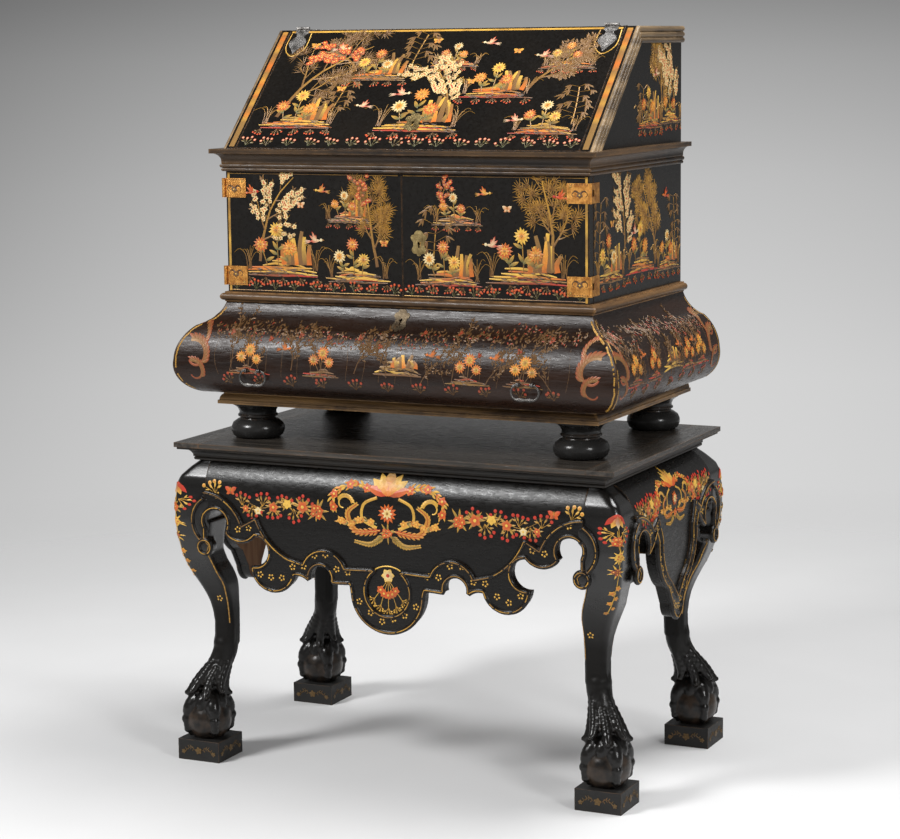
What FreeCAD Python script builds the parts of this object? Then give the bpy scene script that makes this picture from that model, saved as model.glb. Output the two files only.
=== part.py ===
import FreeCAD, Part
import math
import os

os.makedirs("parts", exist_ok=True)
Vector = FreeCAD.Vector

# Lacquered slope-front desk on a cabriole stand. Millimetres, +Z up, front towards -Y,
# origin on the floor under the middle of the stand.

# Stand: overall places
frame_half_width = 461.0
frame_half_depth = 275.0
leg_set_back = 18.0
side_swell = 50.0
front_swell = 30.0
stand_top_height = 692.0
stand_top_thickness = 10.0
stand_top_overhang = 38.0
moulding_height = 30.0
joint_gap = 0.4
overrun = 40.0

# Stand: plinth blocks, balls and toes
plinth_side = 100.0
plinth_height = 45.0
ball_radius = 50.0
ball_centre_rise = 38.0
ball_bands = 8
toe_radius = 11.5
bar_sides = 6
toe_shares = (
    (0.190, 1.42, 0.60), (0.240, 1.16, 1.05), (0.320, 1.05, 1.18), (0.400, 1.03, 0.80), (0.460, 1.05, 0.98),
    (0.515, 1.02, 0.70), (0.570, 1.04, 0.86), (0.625, 1.00, 0.60), (0.700, 0.98, 0.62), (0.735, 0.96, 0.25))
hair_radius = 9.0
hair_count = 8
hair_shares = (
    (0.345, -0.50, 0.40, 0.12), (0.280, -0.46, 0.42, 0.50), (0.215, -0.30, 0.50, 0.78),
    (0.170, -0.18, 0.63, 0.95), (0.148, -0.14, 0.68, 0.78), (0.136, -0.12, 0.69, 0.30))

# Stand: legs, as rows of height, outward reach and inward reach
leg_inner_reach = 55.0
leg_corner_cut = 9.0
swell_height = 126.0
swell_shares = ((0.0, 0.0), (0.265, 0.76), (0.543, 0.95), (1.0, 1.0))
leg_lower_shares = (
    (0.645, 0.84, 0.58), (0.575, 0.56, 0.84), (0.527, 0.28, 0.98), (0.465, -0.02, 1.0),
    (0.39, -0.16, 1.0), (0.30, -0.12, 0.97), (0.245, 0.02, 0.92), (0.20, 0.28, 0.86),
    (0.165, 0.48, 0.80), (0.13, 0.54, 0.70), (0.09, 0.46, 0.55))
leg_post_share = 0.545

# Stand: aprons and their carved band
apron_thickness = 24.0
apron_drop = 356.0
side_apron_drop = 344.0
rear_apron_drop = 150.0
band_proud = 4.5
disc_radius = 52.0
disc_rise = 84.0
scroll_inset = 56.0
scroll_drop = 154.0
scroll_inner_radius = 30.0
scroll_outer_radius = 55.0
volute_radius = 15.0
volute_proud = 2.0
volute_inset = 31.0
volute_drop = 210.0
corner_block_side = 42.0
corner_block_height = 60.0

# Stand: top boards
cleat_width = 60.0
plank_count = 3

# Desk: outer lines
desk_back = 300.0
case_half_width = 411.0
door_face = 219.0
foot_height = 76.0
base_side_reach = 24.0
base_front_reach = 16.0
base_moulding_height = 27.0
base_moulding_depth = 30.0
bombe_set_back = 10.0
bombe_bulge = 76.0
bombe_height = 190.0
bombe_side_thickness = 40.0
waist_height = 21.0
waist_side_reach = 16.0
waist_front_reach = 10.0
waist_depth = 18.0
top_thickness = 20.0
door_thickness = 20.0
door_height = 253.0
cornice_height = 47.0
cornice_side_reach = 24.0
cornice_front_reach = 28.0
slope_board = 23.0
slope_set_back = 2.0
slope_rise = 244.0
slope_run = 254.0
back_board = 15.0
thin_board = 12.0
shelf_set_back = 50.0
pigeonhole_depth = 160.0
pigeonhole_height = 96.0
pigeonhole_count = 4

# Desk: bun feet
foot_inset = 61.0
foot_rear_inset = 62.0
foot_radius = 57.0

# Desk: reeded side mouldings
reeding_width = 35.0
reeding_base = 3.0
reed_count = 3

# Drawer
fit_gap = 0.6
slide_gap = 1.2
runner_width = 34.0
runner_height = 12.0
drawer_side_board = 14.0
drawer_front_board = 35.0
drawer_side_height = 140.0
drawer_depth = 425.0
drawer_bottom_board = 8.0

# Pulls on the drawer
pull_spread = 308.0
pull_rise = 57.0
pull_stand_off = 5.5
post_spacing = 30.0
post_radius = 3.4
eye_radius = 4.6
eye_width = 6.0
bail_pin_radius = 1.8
bail_wire_radius = 2.2
bail_half_width = 30.0
bail_drop = 30.0
bail_grip_radius = 4.4
bail_steps = 7
bail_foot_share = 0.62
bail_grip_shares = (
    (-1.0, 0.45), (-0.72, 0.80), (-0.50, 1.0), (-0.28, 0.80), (-0.05, 0.50), (0.05, 0.50), (0.28, 0.80),
    (0.50, 1.0), (0.72, 0.80), (1.0, 0.45))
pin_clearance = 0.05

# Hinges
leaf_thickness = 1.6
knuckle_barrel_radius = 3.4
hinge_pin_radius = 1.5
hinge_stand_off = 3.8
door_leaf_width = 48.0
door_leaf_height = 40.0
door_hinge_inset = 34.0
strap_length = 73.0
strap_width = 38.0
strap_inset = 30.0
top_strap_length = 60.0
strap_knuckle_share = 0.8
knuckle_gap = 0.3

# Locks and their plates
plate_thickness = 1.5
keyhole_radius = 3.2
keyhole_slot = 9.0
door_plate_width = 34.0
door_plate_height = 52.0
door_plate_x = 38.0
door_plate_rise = 112.0
lid_plate_width = 38.0
lid_plate_height = 50.0
lid_plate_rise = 77.0
drawer_plate_width = 34.0
drawer_plate_height = 42.0
lock_width = 64.0
lock_height = 46.0
lock_thickness = 11.0

# Levels and lines worked out from the sizes above
leg_axis_x = frame_half_width
leg_axis_y = frame_half_depth - leg_set_back
apron_top = stand_top_height - stand_top_thickness
swell_top = apron_top - moulding_height - joint_gap
stand_half_width = frame_half_width + stand_top_overhang
stand_half_depth = frame_half_depth + stand_top_overhang
knee_x = frame_half_width + side_swell
knee_y = frame_half_depth + front_swell
leg_face = leg_inner_reach * leg_post_share
apron_end_x = leg_axis_x - leg_face
apron_end_y = leg_axis_y - leg_face
base_half_width = case_half_width + base_side_reach
base_front = door_face + base_front_reach
base_height = stand_top_height + foot_height
base_top = base_height + base_moulding_height
waist_half_width = case_half_width + waist_side_reach
waist_front = door_face + waist_front_reach
cornice_half_width = case_half_width + cornice_side_reach
cornice_front = door_face + cornice_front_reach
slope_foot = door_face - slope_set_back
bombe_top = base_top + bombe_height
floor_top = bombe_top + waist_height
door_top = floor_top + door_height
slope_floor = door_top + cornice_height
desk_top = slope_floor + slope_rise
bombe_half_width = base_half_width - bombe_set_back
bombe_front = base_front - bombe_set_back
bombe_inner_x = bombe_half_width - bombe_side_thickness
bombe_inner_y = bombe_front - bombe_side_thickness
case_front = door_face - door_thickness - fit_gap
slope_half_width = case_half_width - slope_board
slope_angle = math.atan2(slope_rise, slope_run)
half_turn = slope_angle * 0.5
slope_down = Vector(0, -math.cos(slope_angle), -math.sin(slope_angle))
slope_out = Vector(0, -math.sin(slope_angle), math.cos(slope_angle))
ridge = Vector(0, slope_run - slope_foot, desk_top)
slope_length = math.hypot(slope_run, slope_rise)


# Helpers: solids from boxes and outlines

def box(x_low, x_high, y_low, y_high, z_low, z_high):
    """A board between two corners."""
    return Part.makeBox(x_high - x_low, y_high - y_low, z_high - z_low, Vector(x_low, y_low, z_low))


def in_plan(a, b):
    return Vector(a, b, 0)


def in_side_view(a, b):
    return Vector(0, a, b)


def in_front_view(a, b):
    return Vector(a, 0, b)


def outline(place, start, steps):
    """A flat face. A step is a point for a line, or a pair of points for an arc through the first."""
    first = place(*start)
    here = first
    edges = []
    for step in steps:
        if isinstance(step[0], tuple):
            through, end = (place(*point) for point in step)
            edges.append(Part.Arc(here, through, end).toShape())
        else:
            end = place(*step)
            edges.append(Part.makeLine(here, end))
        here = end
    if not here.isEqual(first, joint_gap * joint_gap):
        edges.append(Part.makeLine(here, first))
    return Part.Face(Part.Wire(edges))


def run_along(face, start, end):
    """Move a flat face to the start and sweep it straight to the end."""
    moved = face.copy()
    moved.translate(start)
    return moved.extrude(end - start)


def run_x(face, low, high):
    return run_along(face, Vector(low, 0, 0), Vector(high, 0, 0))


def run_y(face, low, high):
    return run_along(face, Vector(0, low, 0), Vector(0, high, 0))


def run_z(face, low, high):
    return run_along(face, Vector(0, 0, low), Vector(0, 0, high))


def mirror_x(shape):
    return shape.mirror(Vector(0, 0, 0), Vector(1, 0, 0))


def mirror_y(shape):
    return shape.mirror(Vector(0, 0, 0), Vector(0, 1, 0))


def fuse(shapes):
    return shapes[0].multiFuse(shapes[1:])


def mitred_front(face, half_outer, outer):
    """A moulding across the front, its face drawn in side view, mitred through its outer corners."""
    far = half_outer + overrun
    near = half_outer - outer
    plan = outline(in_plan, (near, 0), [(far, -outer - overrun), (-far, -outer - overrun), (-near, 0)])
    low, high = face.BoundBox.ZMin - overrun, face.BoundBox.ZMax + overrun
    return run_x(face, -far, far).common(run_z(plan, low, high))


def mitred_side(face, half_outer, outer, back):
    """The matching moulding down the right side, its face drawn in front view, square at the back."""
    far = half_outer + overrun
    near = half_outer - outer
    plan = outline(in_plan, (near, 0), [(far, -outer - overrun), (far, back), (near, back)])
    low, high = face.BoundBox.ZMin - overrun, face.BoundBox.ZMax + overrun
    return run_y(face, -outer - overrun, back + overrun).common(run_z(plan, low, high))


def pair(right_piece):
    """A right-hand piece and its mirror image on the left."""
    return Part.makeCompound([mirror_x(right_piece), right_piece])


# Stand: legs

def chamfered_section(x_low, x_high, y_low, y_high, height):
    """The corners of one level cut through a leg: a rectangle with its corners taken off."""
    cut = leg_corner_cut
    points = []
    for x, y, toward_x, toward_y in ((x_low, y_low, 1, 1), (x_high, y_low, -1, 1), (x_high, y_high, -1, -1),
                                     (x_low, y_high, 1, -1)):
        along_x = Vector(x + toward_x * cut, y, height)
        along_y = Vector(x, y + toward_y * cut, height)
        points.extend((along_y, along_x) if toward_x == toward_y else (along_x, along_y))
    return points


def faceted_solid(rings):
    """A carved solid with flat facets between rings of equally many points."""
    facets = [rings[0], rings[-1]]
    for lower, upper in zip(rings, rings[1:]):
        for number in range(len(lower)):
            following = (number + 1) % len(lower)
            facets.append([lower[number], lower[following], upper[following]])
            facets.append([lower[number], upper[following], upper[number]])
    faces = [Part.Face(Part.makePolygon(facet + facet[:1])) for facet in facets]
    return Part.makeSolid(Part.makeShell(faces))


def faceted_bar(stations):
    """A carved bar through stations of centre, two directions across it, and radius."""
    rings = []
    for centre, across, along, radius in stations:
        points = []
        for number in range(bar_sides):
            turn = 2 * math.pi * number / bar_sides
            points.append(centre + across * (radius * math.cos(turn)) + along * (radius * math.sin(turn)))
        rings.append(points)
    return faceted_solid(rings)


def flowing_rows(rows):
    """Rows of numbers with smooth rows put between them, as on a bent batten."""
    filled = []
    for number in range(len(rows) - 1):
        near, far = rows[number], rows[number + 1]
        before = rows[max(number - 1, 0)]
        after = rows[min(number + 2, len(rows) - 1)]
        filled.append(near)
        filled.append([(9 * (b + c) - a - d) / 16 for a, b, c, d in zip(before, near, far, after)])
    return filled + [rows[-1]]


def leg_sections():
    """Sections from the moulding down to the ball, in the quarter with x and y above zero."""
    span = apron_top - plinth_height
    rows = []
    for share, swell in swell_shares:
        out_x = frame_half_width + side_swell * swell
        out_y = frame_half_depth + front_swell * swell
        rows.append((swell_top - swell_height * share, out_x, out_y, leg_face + leg_corner_cut))
    for share, outward, inward in leg_lower_shares:
        out_x = leg_axis_x + (knee_x - leg_axis_x) * outward
        out_y = leg_axis_y + (knee_y - leg_axis_y) * outward
        rows.append((plinth_height + span * share, out_x, out_y, leg_inner_reach * inward))
    sections = []
    for height, out_x, out_y, reach in flowing_rows(rows):
        sections.append(chamfered_section(leg_axis_x - reach, out_x, leg_axis_y - reach, out_y, height))
    return sections


def toe(turn):
    """A jointed toe that grips the ball, in the upright plane turned about the leg's axis."""
    centre = Vector(leg_axis_x, leg_axis_y, plinth_height + ball_centre_rise)
    stations = []
    for turn_share, reach_share, radius_share in toe_shares:
        angle = math.pi * turn_share
        out = Vector(math.sin(angle), 0, math.cos(angle))
        joint = centre + out * (ball_radius * reach_share)
        stations.append((joint, out, Vector(0, 1, 0), toe_radius * radius_share))
    bar = faceted_bar(stations)
    bar.rotate(centre, Vector(0, 0, 1), turn)
    return bar


def hair_lock(turn):
    """A carved lock of hair that runs down the ankle to the toes."""
    span = apron_top - plinth_height
    stations = []
    for rise_share, shift_share, out_share, radius_share in hair_shares:
        shift = leg_inner_reach * shift_share
        out = leg_inner_reach * out_share
        centre = Vector(leg_axis_x + shift + out * math.cos(turn), leg_axis_y + shift + out * math.sin(turn),
                        plinth_height + span * rise_share)
        stations.append((centre, Vector(1, 0, 0), Vector(0, 1, 0), hair_radius * radius_share))
    return faceted_bar(stations)


def scroll_ear():
    """The leg's half of the C-scroll on its front face, ending in a volute."""
    ear_x = leg_axis_x - scroll_inset
    ear_z = apron_top - scroll_drop
    back = knee_y - apron_thickness
    ring = Part.makeCylinder(scroll_outer_radius, apron_thickness + band_proud,
                             Vector(ear_x, back, ear_z), Vector(0, 1, 0))
    hole = Part.makeCylinder(scroll_inner_radius, apron_thickness + overrun,
                             Vector(ear_x, back - overrun, ear_z), Vector(0, 1, 0))
    hole = hole.fuse(hole.translated(Vector(0, overrun, 0)))
    half = box(leg_axis_x - leg_face, knee_x, back - overrun, knee_y + overrun,
               ear_z - scroll_outer_radius, ear_z + scroll_outer_radius)
    eye = Vector(leg_axis_x - volute_inset, back, apron_top - volute_drop)
    tall = apron_thickness + band_proud + volute_proud
    volute = Part.makeCylinder(volute_radius, tall, eye, Vector(0, 1, 0))
    return [ring.cut(hole).common(half), volute]


def side_scroll_ear():
    """The same ear on the leg's side face, by swapping the two directions about the knee's corner."""
    turned = []
    for piece in scroll_ear():
        swapped = piece.translated(Vector(-leg_axis_x, -knee_y, 0))
        swapped = swapped.mirror(Vector(0, 0, 0), Vector(1, -1, 0))
        turned.append(swapped.translated(Vector(knee_x, leg_axis_y, 0)))
    return turned


def leg_shaft():
    """The square post behind the moulding, the swelled shaft below it, and flat cheeks for the aprons."""
    sections = leg_sections()
    low = swell_top - swell_height
    beside_front = box(0, apron_end_x, 0, knee_y + overrun, low, apron_top)
    beside_side = box(0, knee_x + overrun, 0, apron_end_y, low, apron_top)
    top = Part.Face(Part.makePolygon(sections[0] + sections[0][:1]))
    post = top.extrude(Vector(0, 0, apron_top - swell_top))
    shaft = faceted_solid(sections)
    return [piece.cut(beside_front).cut(beside_side) for piece in (post, shaft)]


def turned_ball(centre):
    """The ball, turned in narrow bands."""
    rim = []
    for number in range(ball_bands + 1):
        turn = math.pi * number / ball_bands
        rim.append(centre + Vector(math.sin(turn), 0, math.cos(turn)) * ball_radius)
    return Part.Face(Part.makePolygon(rim + rim[:1])).revolve(centre, Vector(0, 0, 1), 360)


def leg(ears):
    """A whole leg: shaft, scroll ears, ball, four toes and locks of hair, flat where it meets the plinth."""
    centre = Vector(leg_axis_x, leg_axis_y, plinth_height + ball_centre_rise)
    pieces = leg_shaft() + [turned_ball(centre)] + ears
    for quarter in range(4):
        pieces.append(toe(45.0 + 90.0 * quarter))
    for number in range(hair_count):
        pieces.append(hair_lock(2 * math.pi * (number + 0.5) / hair_count))
    below = box(leg_axis_x - plinth_side, leg_axis_x + plinth_side, leg_axis_y - plinth_side,
                leg_axis_y + plinth_side, plinth_height - overrun, plinth_height)
    return fuse(pieces).cut(below)


def plinth_blocks():
    half = plinth_side * 0.5
    blocks = []
    for x in (-leg_axis_x, leg_axis_x):
        for y in (-leg_axis_y, leg_axis_y):
            blocks.append(box(x - half, x + half, y - half, y + half, 0, plinth_height))
    return Part.makeCompound(blocks)


# Stand: aprons

def swell_curve(face_line, swell, drop):
    """The apron's outer line in side view, from its top to its lower edge, as edges."""
    points = []
    for share, out in swell_shares:
        points.append(Vector(0, face_line + swell * out, swell_top - swell_height * share))
    top = Part.makeLine(Vector(0, face_line, apron_top), points[0])
    foot = Vector(0, face_line + swell, apron_top - drop)
    edges = [top, Part.Arc(*points[:3]).toShape(), Part.makeLine(points[2], points[3])]
    if foot.z < points[-1].z:
        edges.append(Part.makeLine(points[-1], foot))
    return edges


def swelled_board(face_line, swell, drop, proud, half_length):
    """A bent board of the apron's section along X, its outer face towards +Y."""
    outer = Part.Wire(swell_curve(face_line + proud, swell, drop))
    inner = outer.translated(Vector(0, -apron_thickness - proud, 0))
    ends = [vertex.Point for vertex in (outer.OrderedVertexes[0], outer.OrderedVertexes[-1])]
    inner_ends = [vertex.Point for vertex in (inner.OrderedVertexes[0], inner.OrderedVertexes[-1])]
    closing = [Part.makeLine(ends[0], inner_ends[0]), Part.makeLine(ends[1], inner_ends[1])]
    section = Part.Face(Part.Wire(Part.__sortEdges__(outer.Edges + inner.Edges + closing)))
    return run_x(section, -half_length, half_length)


def both_halves(half_steps, across, drop):
    """Points of a lower edge from the left to the right, from steps that run from the middle outwards."""
    def at(point, side):
        return side * across * point[0], apron_top - drop * point[1]

    right = []
    for step in half_steps[1:]:
        if isinstance(step[0], tuple):
            right.append((at(step[0], 1), at(step[1], 1)))
        else:
            right.append(at(step, 1))
    left = []
    ends = [step[1] if isinstance(step[0], tuple) else step for step in half_steps]
    for number in range(len(half_steps) - 1, 0, -1):
        step = half_steps[number]
        if isinstance(step[0], tuple):
            left.append((at(step[0], -1), at(ends[number - 1], -1)))
        else:
            left.append(at(ends[number - 1], -1))
    return at(ends[-1], -1), left + right


def apron_region(half_steps, across, drop):
    """The apron's face seen from the front: its carved lower edge, closed above its top."""
    start, steps = both_halves(half_steps, across, drop)
    end = steps[-1][1] if isinstance(steps[-1][0], tuple) else steps[-1]
    roof = apron_top + overrun
    steps = steps + [(end[0], roof), (start[0], roof)]
    return outline(in_front_view, start, steps)


# Carved edges as shares of the leg axis spacing and of the apron's drop, from the middle outwards
front_edge_shares = (
    (0.0, 1.0), ((0.123, 0.934), (0.174, 0.775)), (0.182, 0.728), (0.275, 0.735),
    ((0.334, 0.633), (0.395, 0.733)), ((0.434, 0.706), (0.473, 0.708)),
    ((0.571, 0.816), (0.683, 0.688)), ((0.598, 0.628), (0.672, 0.489)),
    ((0.750, 0.537), (0.818, 0.492)), ((0.879, 0.350), (0.945, 0.430)), (1.05, 0.430))
front_field_shares = (
    (0.0, 0.640), (0.213, 0.652), ((0.334, 0.556), (0.421, 0.648)), (0.499, 0.623),
    ((0.545, 0.590), (0.664, 0.399)), (0.738, 0.452), ((0.879, 0.275), (1.05, 0.300)))
side_edge_shares = (
    (0.0, 1.0), ((0.075, 0.968), (0.110, 0.905)), (0.210, 0.785), ((0.395, 0.640), (0.430, 0.480)),
    (0.480, 0.410), ((0.560, 0.470), (0.655, 0.520)), ((0.785, 0.362), (0.905, 0.445)), (1.05, 0.445))
side_field_shares = (
    (0.0, 0.870), (0.150, 0.760), ((0.320, 0.620), (0.350, 0.480)), (0.430, 0.340),
    (0.545, 0.395), ((0.785, 0.285), (1.05, 0.310)))


def carved_apron(face_line, swell, across, drop, edge_shares, field_shares, disc):
    """A swelled apron whose lower edge is carved to scrolls, with a raised band that follows it."""
    region = run_y(apron_region(edge_shares, across, drop), 0, face_line + swell + overrun)
    field = run_y(apron_region(field_shares, across, drop), 0, face_line + swell + overrun)
    ground = swelled_board(face_line, swell, drop + overrun, 0, across + overrun).common(region)
    raised = swelled_board(face_line, swell, drop + overrun, band_proud, across + overrun)
    raised = raised.common(region).cut(field)
    if disc:
        pit = Part.makeCylinder(disc_radius, face_line + swell + overrun,
                                Vector(0, 0, apron_top - drop + disc_rise), Vector(0, 1, 0))
        raised = raised.cut(pit)
    return ground.fuse(raised).removeSplitter()


def between_legs(apron, half_length, along_x):
    """Trim an apron to the flat cheeks of the two legs that carry it."""
    reach = knee_x + knee_y
    if along_x:
        room = box(-half_length, half_length, -reach, reach, 0, apron_top)
    else:
        room = box(-reach, reach, -half_length, half_length, 0, apron_top)
    return apron.common(room)


def quarter_turn(shape, turns):
    turned = shape.copy()
    turned.rotate(Vector(0, 0, 0), Vector(0, 0, 1), 90.0 * turns)
    return turned


def front_apron():
    apron = carved_apron(frame_half_depth, front_swell, leg_axis_x, apron_drop,
                         front_edge_shares, front_field_shares, True)
    return between_legs(mirror_y(apron), apron_end_x, True)


def right_apron():
    apron = carved_apron(frame_half_width, side_swell, leg_axis_y, side_apron_drop,
                         side_edge_shares, side_field_shares, False)
    return between_legs(quarter_turn(apron, -1), apron_end_y, False)


def rear_apron():
    board = swelled_board(frame_half_depth, front_swell, apron_drop, 0, leg_axis_x)
    return board.common(box(-apron_end_x, apron_end_x, 0, knee_y, apron_top - rear_apron_drop, apron_top))


def corner_blocks():
    """Glue blocks in the angle behind each leg, under the top boards."""
    high_x = apron_end_x
    high_y = frame_half_depth - apron_thickness
    block = box(high_x - corner_block_side, high_x, high_y - corner_block_side, high_y,
                apron_top - corner_block_height, apron_top)
    return Part.makeCompound([block, mirror_x(block), mirror_y(block), mirror_x(mirror_y(block))])


# Stand: top

def stand_planks():
    half = stand_half_width - cleat_width - joint_gap
    depth = 2 * stand_half_depth / plank_count
    planks = []
    for number in range(plank_count):
        low = -stand_half_depth + depth * number
        gap = joint_gap if number < plank_count - 1 else 0
        planks.append(box(-half, half, low, low + depth - gap, apron_top, stand_top_height))
    return Part.makeCompound(planks)


def stand_cleats():
    cleat = box(stand_half_width - cleat_width, stand_half_width, -stand_half_depth, stand_half_depth,
                apron_top, stand_top_height)
    return Part.makeCompound([mirror_x(cleat), cleat])


def stand_profile(place, sign, line):
    """Section of the moulding under the top: bead, fillet and hollow."""
    low = apron_top - moulding_height

    def at(out_share, rise_share):
        return sign * (line + stand_top_overhang * out_share), low + moulding_height * rise_share

    return outline(place, at(0, 0), [
        at(0.10, 0), (at(0.19, 0.135), at(0.10, 0.27)), at(0.22, 0.27), at(0.22, 0.40),
        (at(0.38, 0.70), at(0.78, 0.84)), at(0.88, 0.84), at(0.88, 1), at(0, 1)])


def stand_moulding_front():
    face = stand_profile(in_side_view, -1, frame_half_depth)
    return mitred_front(face, stand_half_width, stand_half_depth)


def stand_moulding_sides():
    face = stand_profile(in_front_view, 1, frame_half_width)
    half = mitred_side(face, stand_half_width, stand_half_depth, 0)
    return pair(half.fuse(mirror_y(half)).removeSplitter())


# Desk: feet and mouldings

def bun_feet():
    """Turned feet: a bun, a ringed neck and a flared cup under the case."""
    def at(out_share, rise_share):
        return foot_radius * out_share, stand_top_height + foot_height * rise_share

    face = outline(in_front_view, (0, stand_top_height), [
        at(0.80, 0), at(0.97, 0.13), at(0.98, 0.36), at(0.72, 0.52), at(0.66, 0.58), at(0.74, 0.60),
        at(0.73, 0.72), at(0.95, 0.93), at(0.95, 1), (0, base_height)])
    foot = face.revolve(Vector(0, 0, 0), Vector(0, 0, 1), 360)
    x = base_half_width - foot_inset
    feet = []
    for y in (foot_inset - base_front, desk_back - foot_rear_inset):
        feet.extend([foot.translated(Vector(-x, y, 0)), foot.translated(Vector(x, y, 0))])
    return Part.makeCompound(feet)


def base_profile(place, sign, line):
    low = base_height

    def at(out_share, rise_share):
        return sign * (line - base_moulding_depth * (1 - out_share)), low + base_moulding_height * rise_share

    return outline(place, at(0, 0), [
        at(1, 0), at(1, 0.28), at(0.90, 0.28), (at(0.82, 0.62), at(0.67, 0.78)), at(0.67, 1), at(0, 1)])


def waist_profile(place, sign, line):
    low = bombe_top

    def at(out_share, rise_share):
        return sign * (line - waist_depth * (1 - out_share)), low + waist_height * rise_share

    return outline(place, at(0, 0), [
        at(0.55, 0), at(0.55, 0.14), (at(1, 0.5), at(0.55, 0.86)), at(0.55, 1), at(0, 1)])


def cornice_profile(place, sign, line, depth):
    """Cornice from the door's head up: two beads, a hollow and a flat tip."""
    def at(out_share, rise_share):
        return sign * (line - cornice_side_reach * (1 - out_share)), door_top + cornice_height * rise_share

    inner = sign * (line - depth)
    return outline(place, (inner, door_top), [
        at(0.10, 0), (at(0.23, 0.08), at(0.10, 0.16)), at(0.18, 0.16), (at(0.33, 0.25), at(0.18, 0.34)),
        at(0.22, 0.40), (at(0.34, 0.66), at(0.80, 0.80)), at(1, 0.80), at(1, 1), (inner, slope_floor)])


def base_moulding_front():
    return mitred_front(base_profile(in_side_view, -1, base_front), base_half_width, base_front)


def base_moulding_sides():
    face = base_profile(in_front_view, 1, base_half_width)
    return pair(mitred_side(face, base_half_width, base_front, desk_back))


def waist_moulding_front():
    return mitred_front(waist_profile(in_side_view, -1, waist_front), waist_half_width, waist_front)


def waist_moulding_sides():
    face = waist_profile(in_front_view, 1, waist_half_width)
    return pair(mitred_side(face, waist_half_width, waist_front, desk_back))


def cornice_front_piece():
    """The front length, which also fills the case between its two sides."""
    face = cornice_profile(in_side_view, -1, cornice_front, cornice_front - case_front)
    length = run_x(face, -cornice_half_width - overrun, cornice_half_width + overrun)
    corner_y = cornice_front - cornice_side_reach
    far = cornice_half_width + overrun
    plan = outline(in_plan, (-case_half_width, 0), [
        (case_half_width, 0), (case_half_width, -corner_y), (far, -cornice_front - overrun),
        (-far, -cornice_front - overrun), (-case_half_width, -corner_y)])
    return length.common(run_z(plan, door_top - overrun, slope_floor + overrun))


def cornice_sides():
    face = cornice_profile(in_front_view, 1, cornice_half_width, cornice_side_reach)
    return pair(mitred_side(face, cornice_half_width, cornice_front, desk_back))


# Desk: drawer section

def bombe_steps(at):
    """The swelled line from the base moulding up to the neck, as steps from its lowest point."""
    return [(at(0.80, 0.10), at(1, 0.385)), (at(0.87, 0.58), at(0.52, 0.75)), (at(0.09, 0.86), at(-0.105, 1))]


def bombe_profile(place, sign, line, inner_line, low, high):
    """Section of the swelled front or side: a flat inner face and the swelled outer one."""
    tall = high - low

    def at(out_share, rise_share):
        return sign * (line + bombe_bulge * out_share), low + tall * rise_share

    steps = [at(0, 0)] + bombe_steps(at) + [(sign * inner_line, high)]
    return outline(place, (sign * inner_line, low), steps)


def bombe_corner(offset):
    """Plan of the front between the two corner mitres, drawn in by an offset."""
    far = bombe_bulge + overrun
    inner_x = bombe_inner_x - offset
    outer_x = bombe_half_width + far - offset
    return outline(in_plan, (-inner_x, -bombe_inner_y), [
        (inner_x, -bombe_inner_y), (outer_x, -bombe_front - far), (-outer_x, -bombe_front - far)])


def bombe_side(side):
    face = bombe_profile(in_front_view, 1, bombe_half_width, bombe_inner_x, base_top, bombe_top)
    far = bombe_bulge + overrun
    plan = outline(in_plan, (bombe_inner_x, -bombe_inner_y), [
        (bombe_half_width + far, -bombe_front - far), (bombe_half_width + far, desk_back),
        (bombe_inner_x, desk_back)])
    piece = run_y(face, -bombe_front - far, desk_back).common(run_z(plan, base_top, bombe_top))
    return piece if side == "right" else mirror_x(piece)


def case_bottom():
    half = base_half_width - base_moulding_depth
    front = base_front - base_moulding_depth
    return box(-half, half, -front, desk_back, base_height, base_top - runner_height)


def drawer_runners():
    """Strips that the drawer's sides ride on, between the case bottom and the drawer."""
    runner = box(bombe_inner_x - runner_width, bombe_inner_x, -bombe_inner_y + drawer_front_board,
                 desk_back - back_board, base_top - runner_height, base_top)
    return Part.makeCompound([mirror_x(runner), runner])


def drawer_case_back():
    return box(-bombe_inner_x, bombe_inner_x, desk_back - back_board, desk_back,
               base_top - runner_height, bombe_top)


# Drawer

drawer_low = base_top + fit_gap * 0.5
drawer_high = bombe_top - fit_gap
drawer_front_inner = bombe_inner_y + fit_gap - drawer_front_board
drawer_outer_x = bombe_inner_x - slide_gap
drawer_rear = -drawer_front_inner + drawer_depth


def drawer_face(proud, inner_line):
    return bombe_profile(in_side_view, -1, bombe_front + proud, inner_line, drawer_low, drawer_high)


def keyhole(centre, axis):
    """A round hole with a slot below it, cut along an axis that points out of the plate."""
    hole = Part.makeCylinder(keyhole_radius, 2 * overrun, centre - axis * overrun, axis)
    across = Vector(1, 0, 0)
    down = axis.cross(across)
    half = keyhole_radius * 0.5
    foot = down * -keyhole_slot
    corners = [across * -half, across * half, across * half + foot, across * -half + foot]
    points = [centre - axis * overrun + corner for corner in corners]
    slot = Part.Face(Part.makePolygon(points + points[:1])).extrude(axis * (2 * overrun))
    return hole.fuse(slot)


front_axis = Vector(0, -1, 0)
drawer_key = Vector(0, -bombe_front, drawer_high - drawer_plate_height * 0.55)


def drawer_front():
    """The full-width swelled front, mitred to the case sides, with its keyhole."""
    half = base_half_width + bombe_bulge
    block = run_x(drawer_face(0, drawer_front_inner), -half, half)
    mitre = run_z(bombe_corner(fit_gap), drawer_low, drawer_high)
    tongue = box(-drawer_outer_x, drawer_outer_x, -bombe_inner_y, -drawer_front_inner,
                 drawer_low, drawer_high)
    return block.common(mitre.fuse(tongue)).cut(keyhole(drawer_key, front_axis))


def drawer_sides():
    low = drawer_low
    board = box(drawer_outer_x - drawer_side_board, drawer_outer_x, -drawer_front_inner, drawer_rear,
                low, low + drawer_side_height)
    return Part.makeCompound([mirror_x(board), board])


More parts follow.
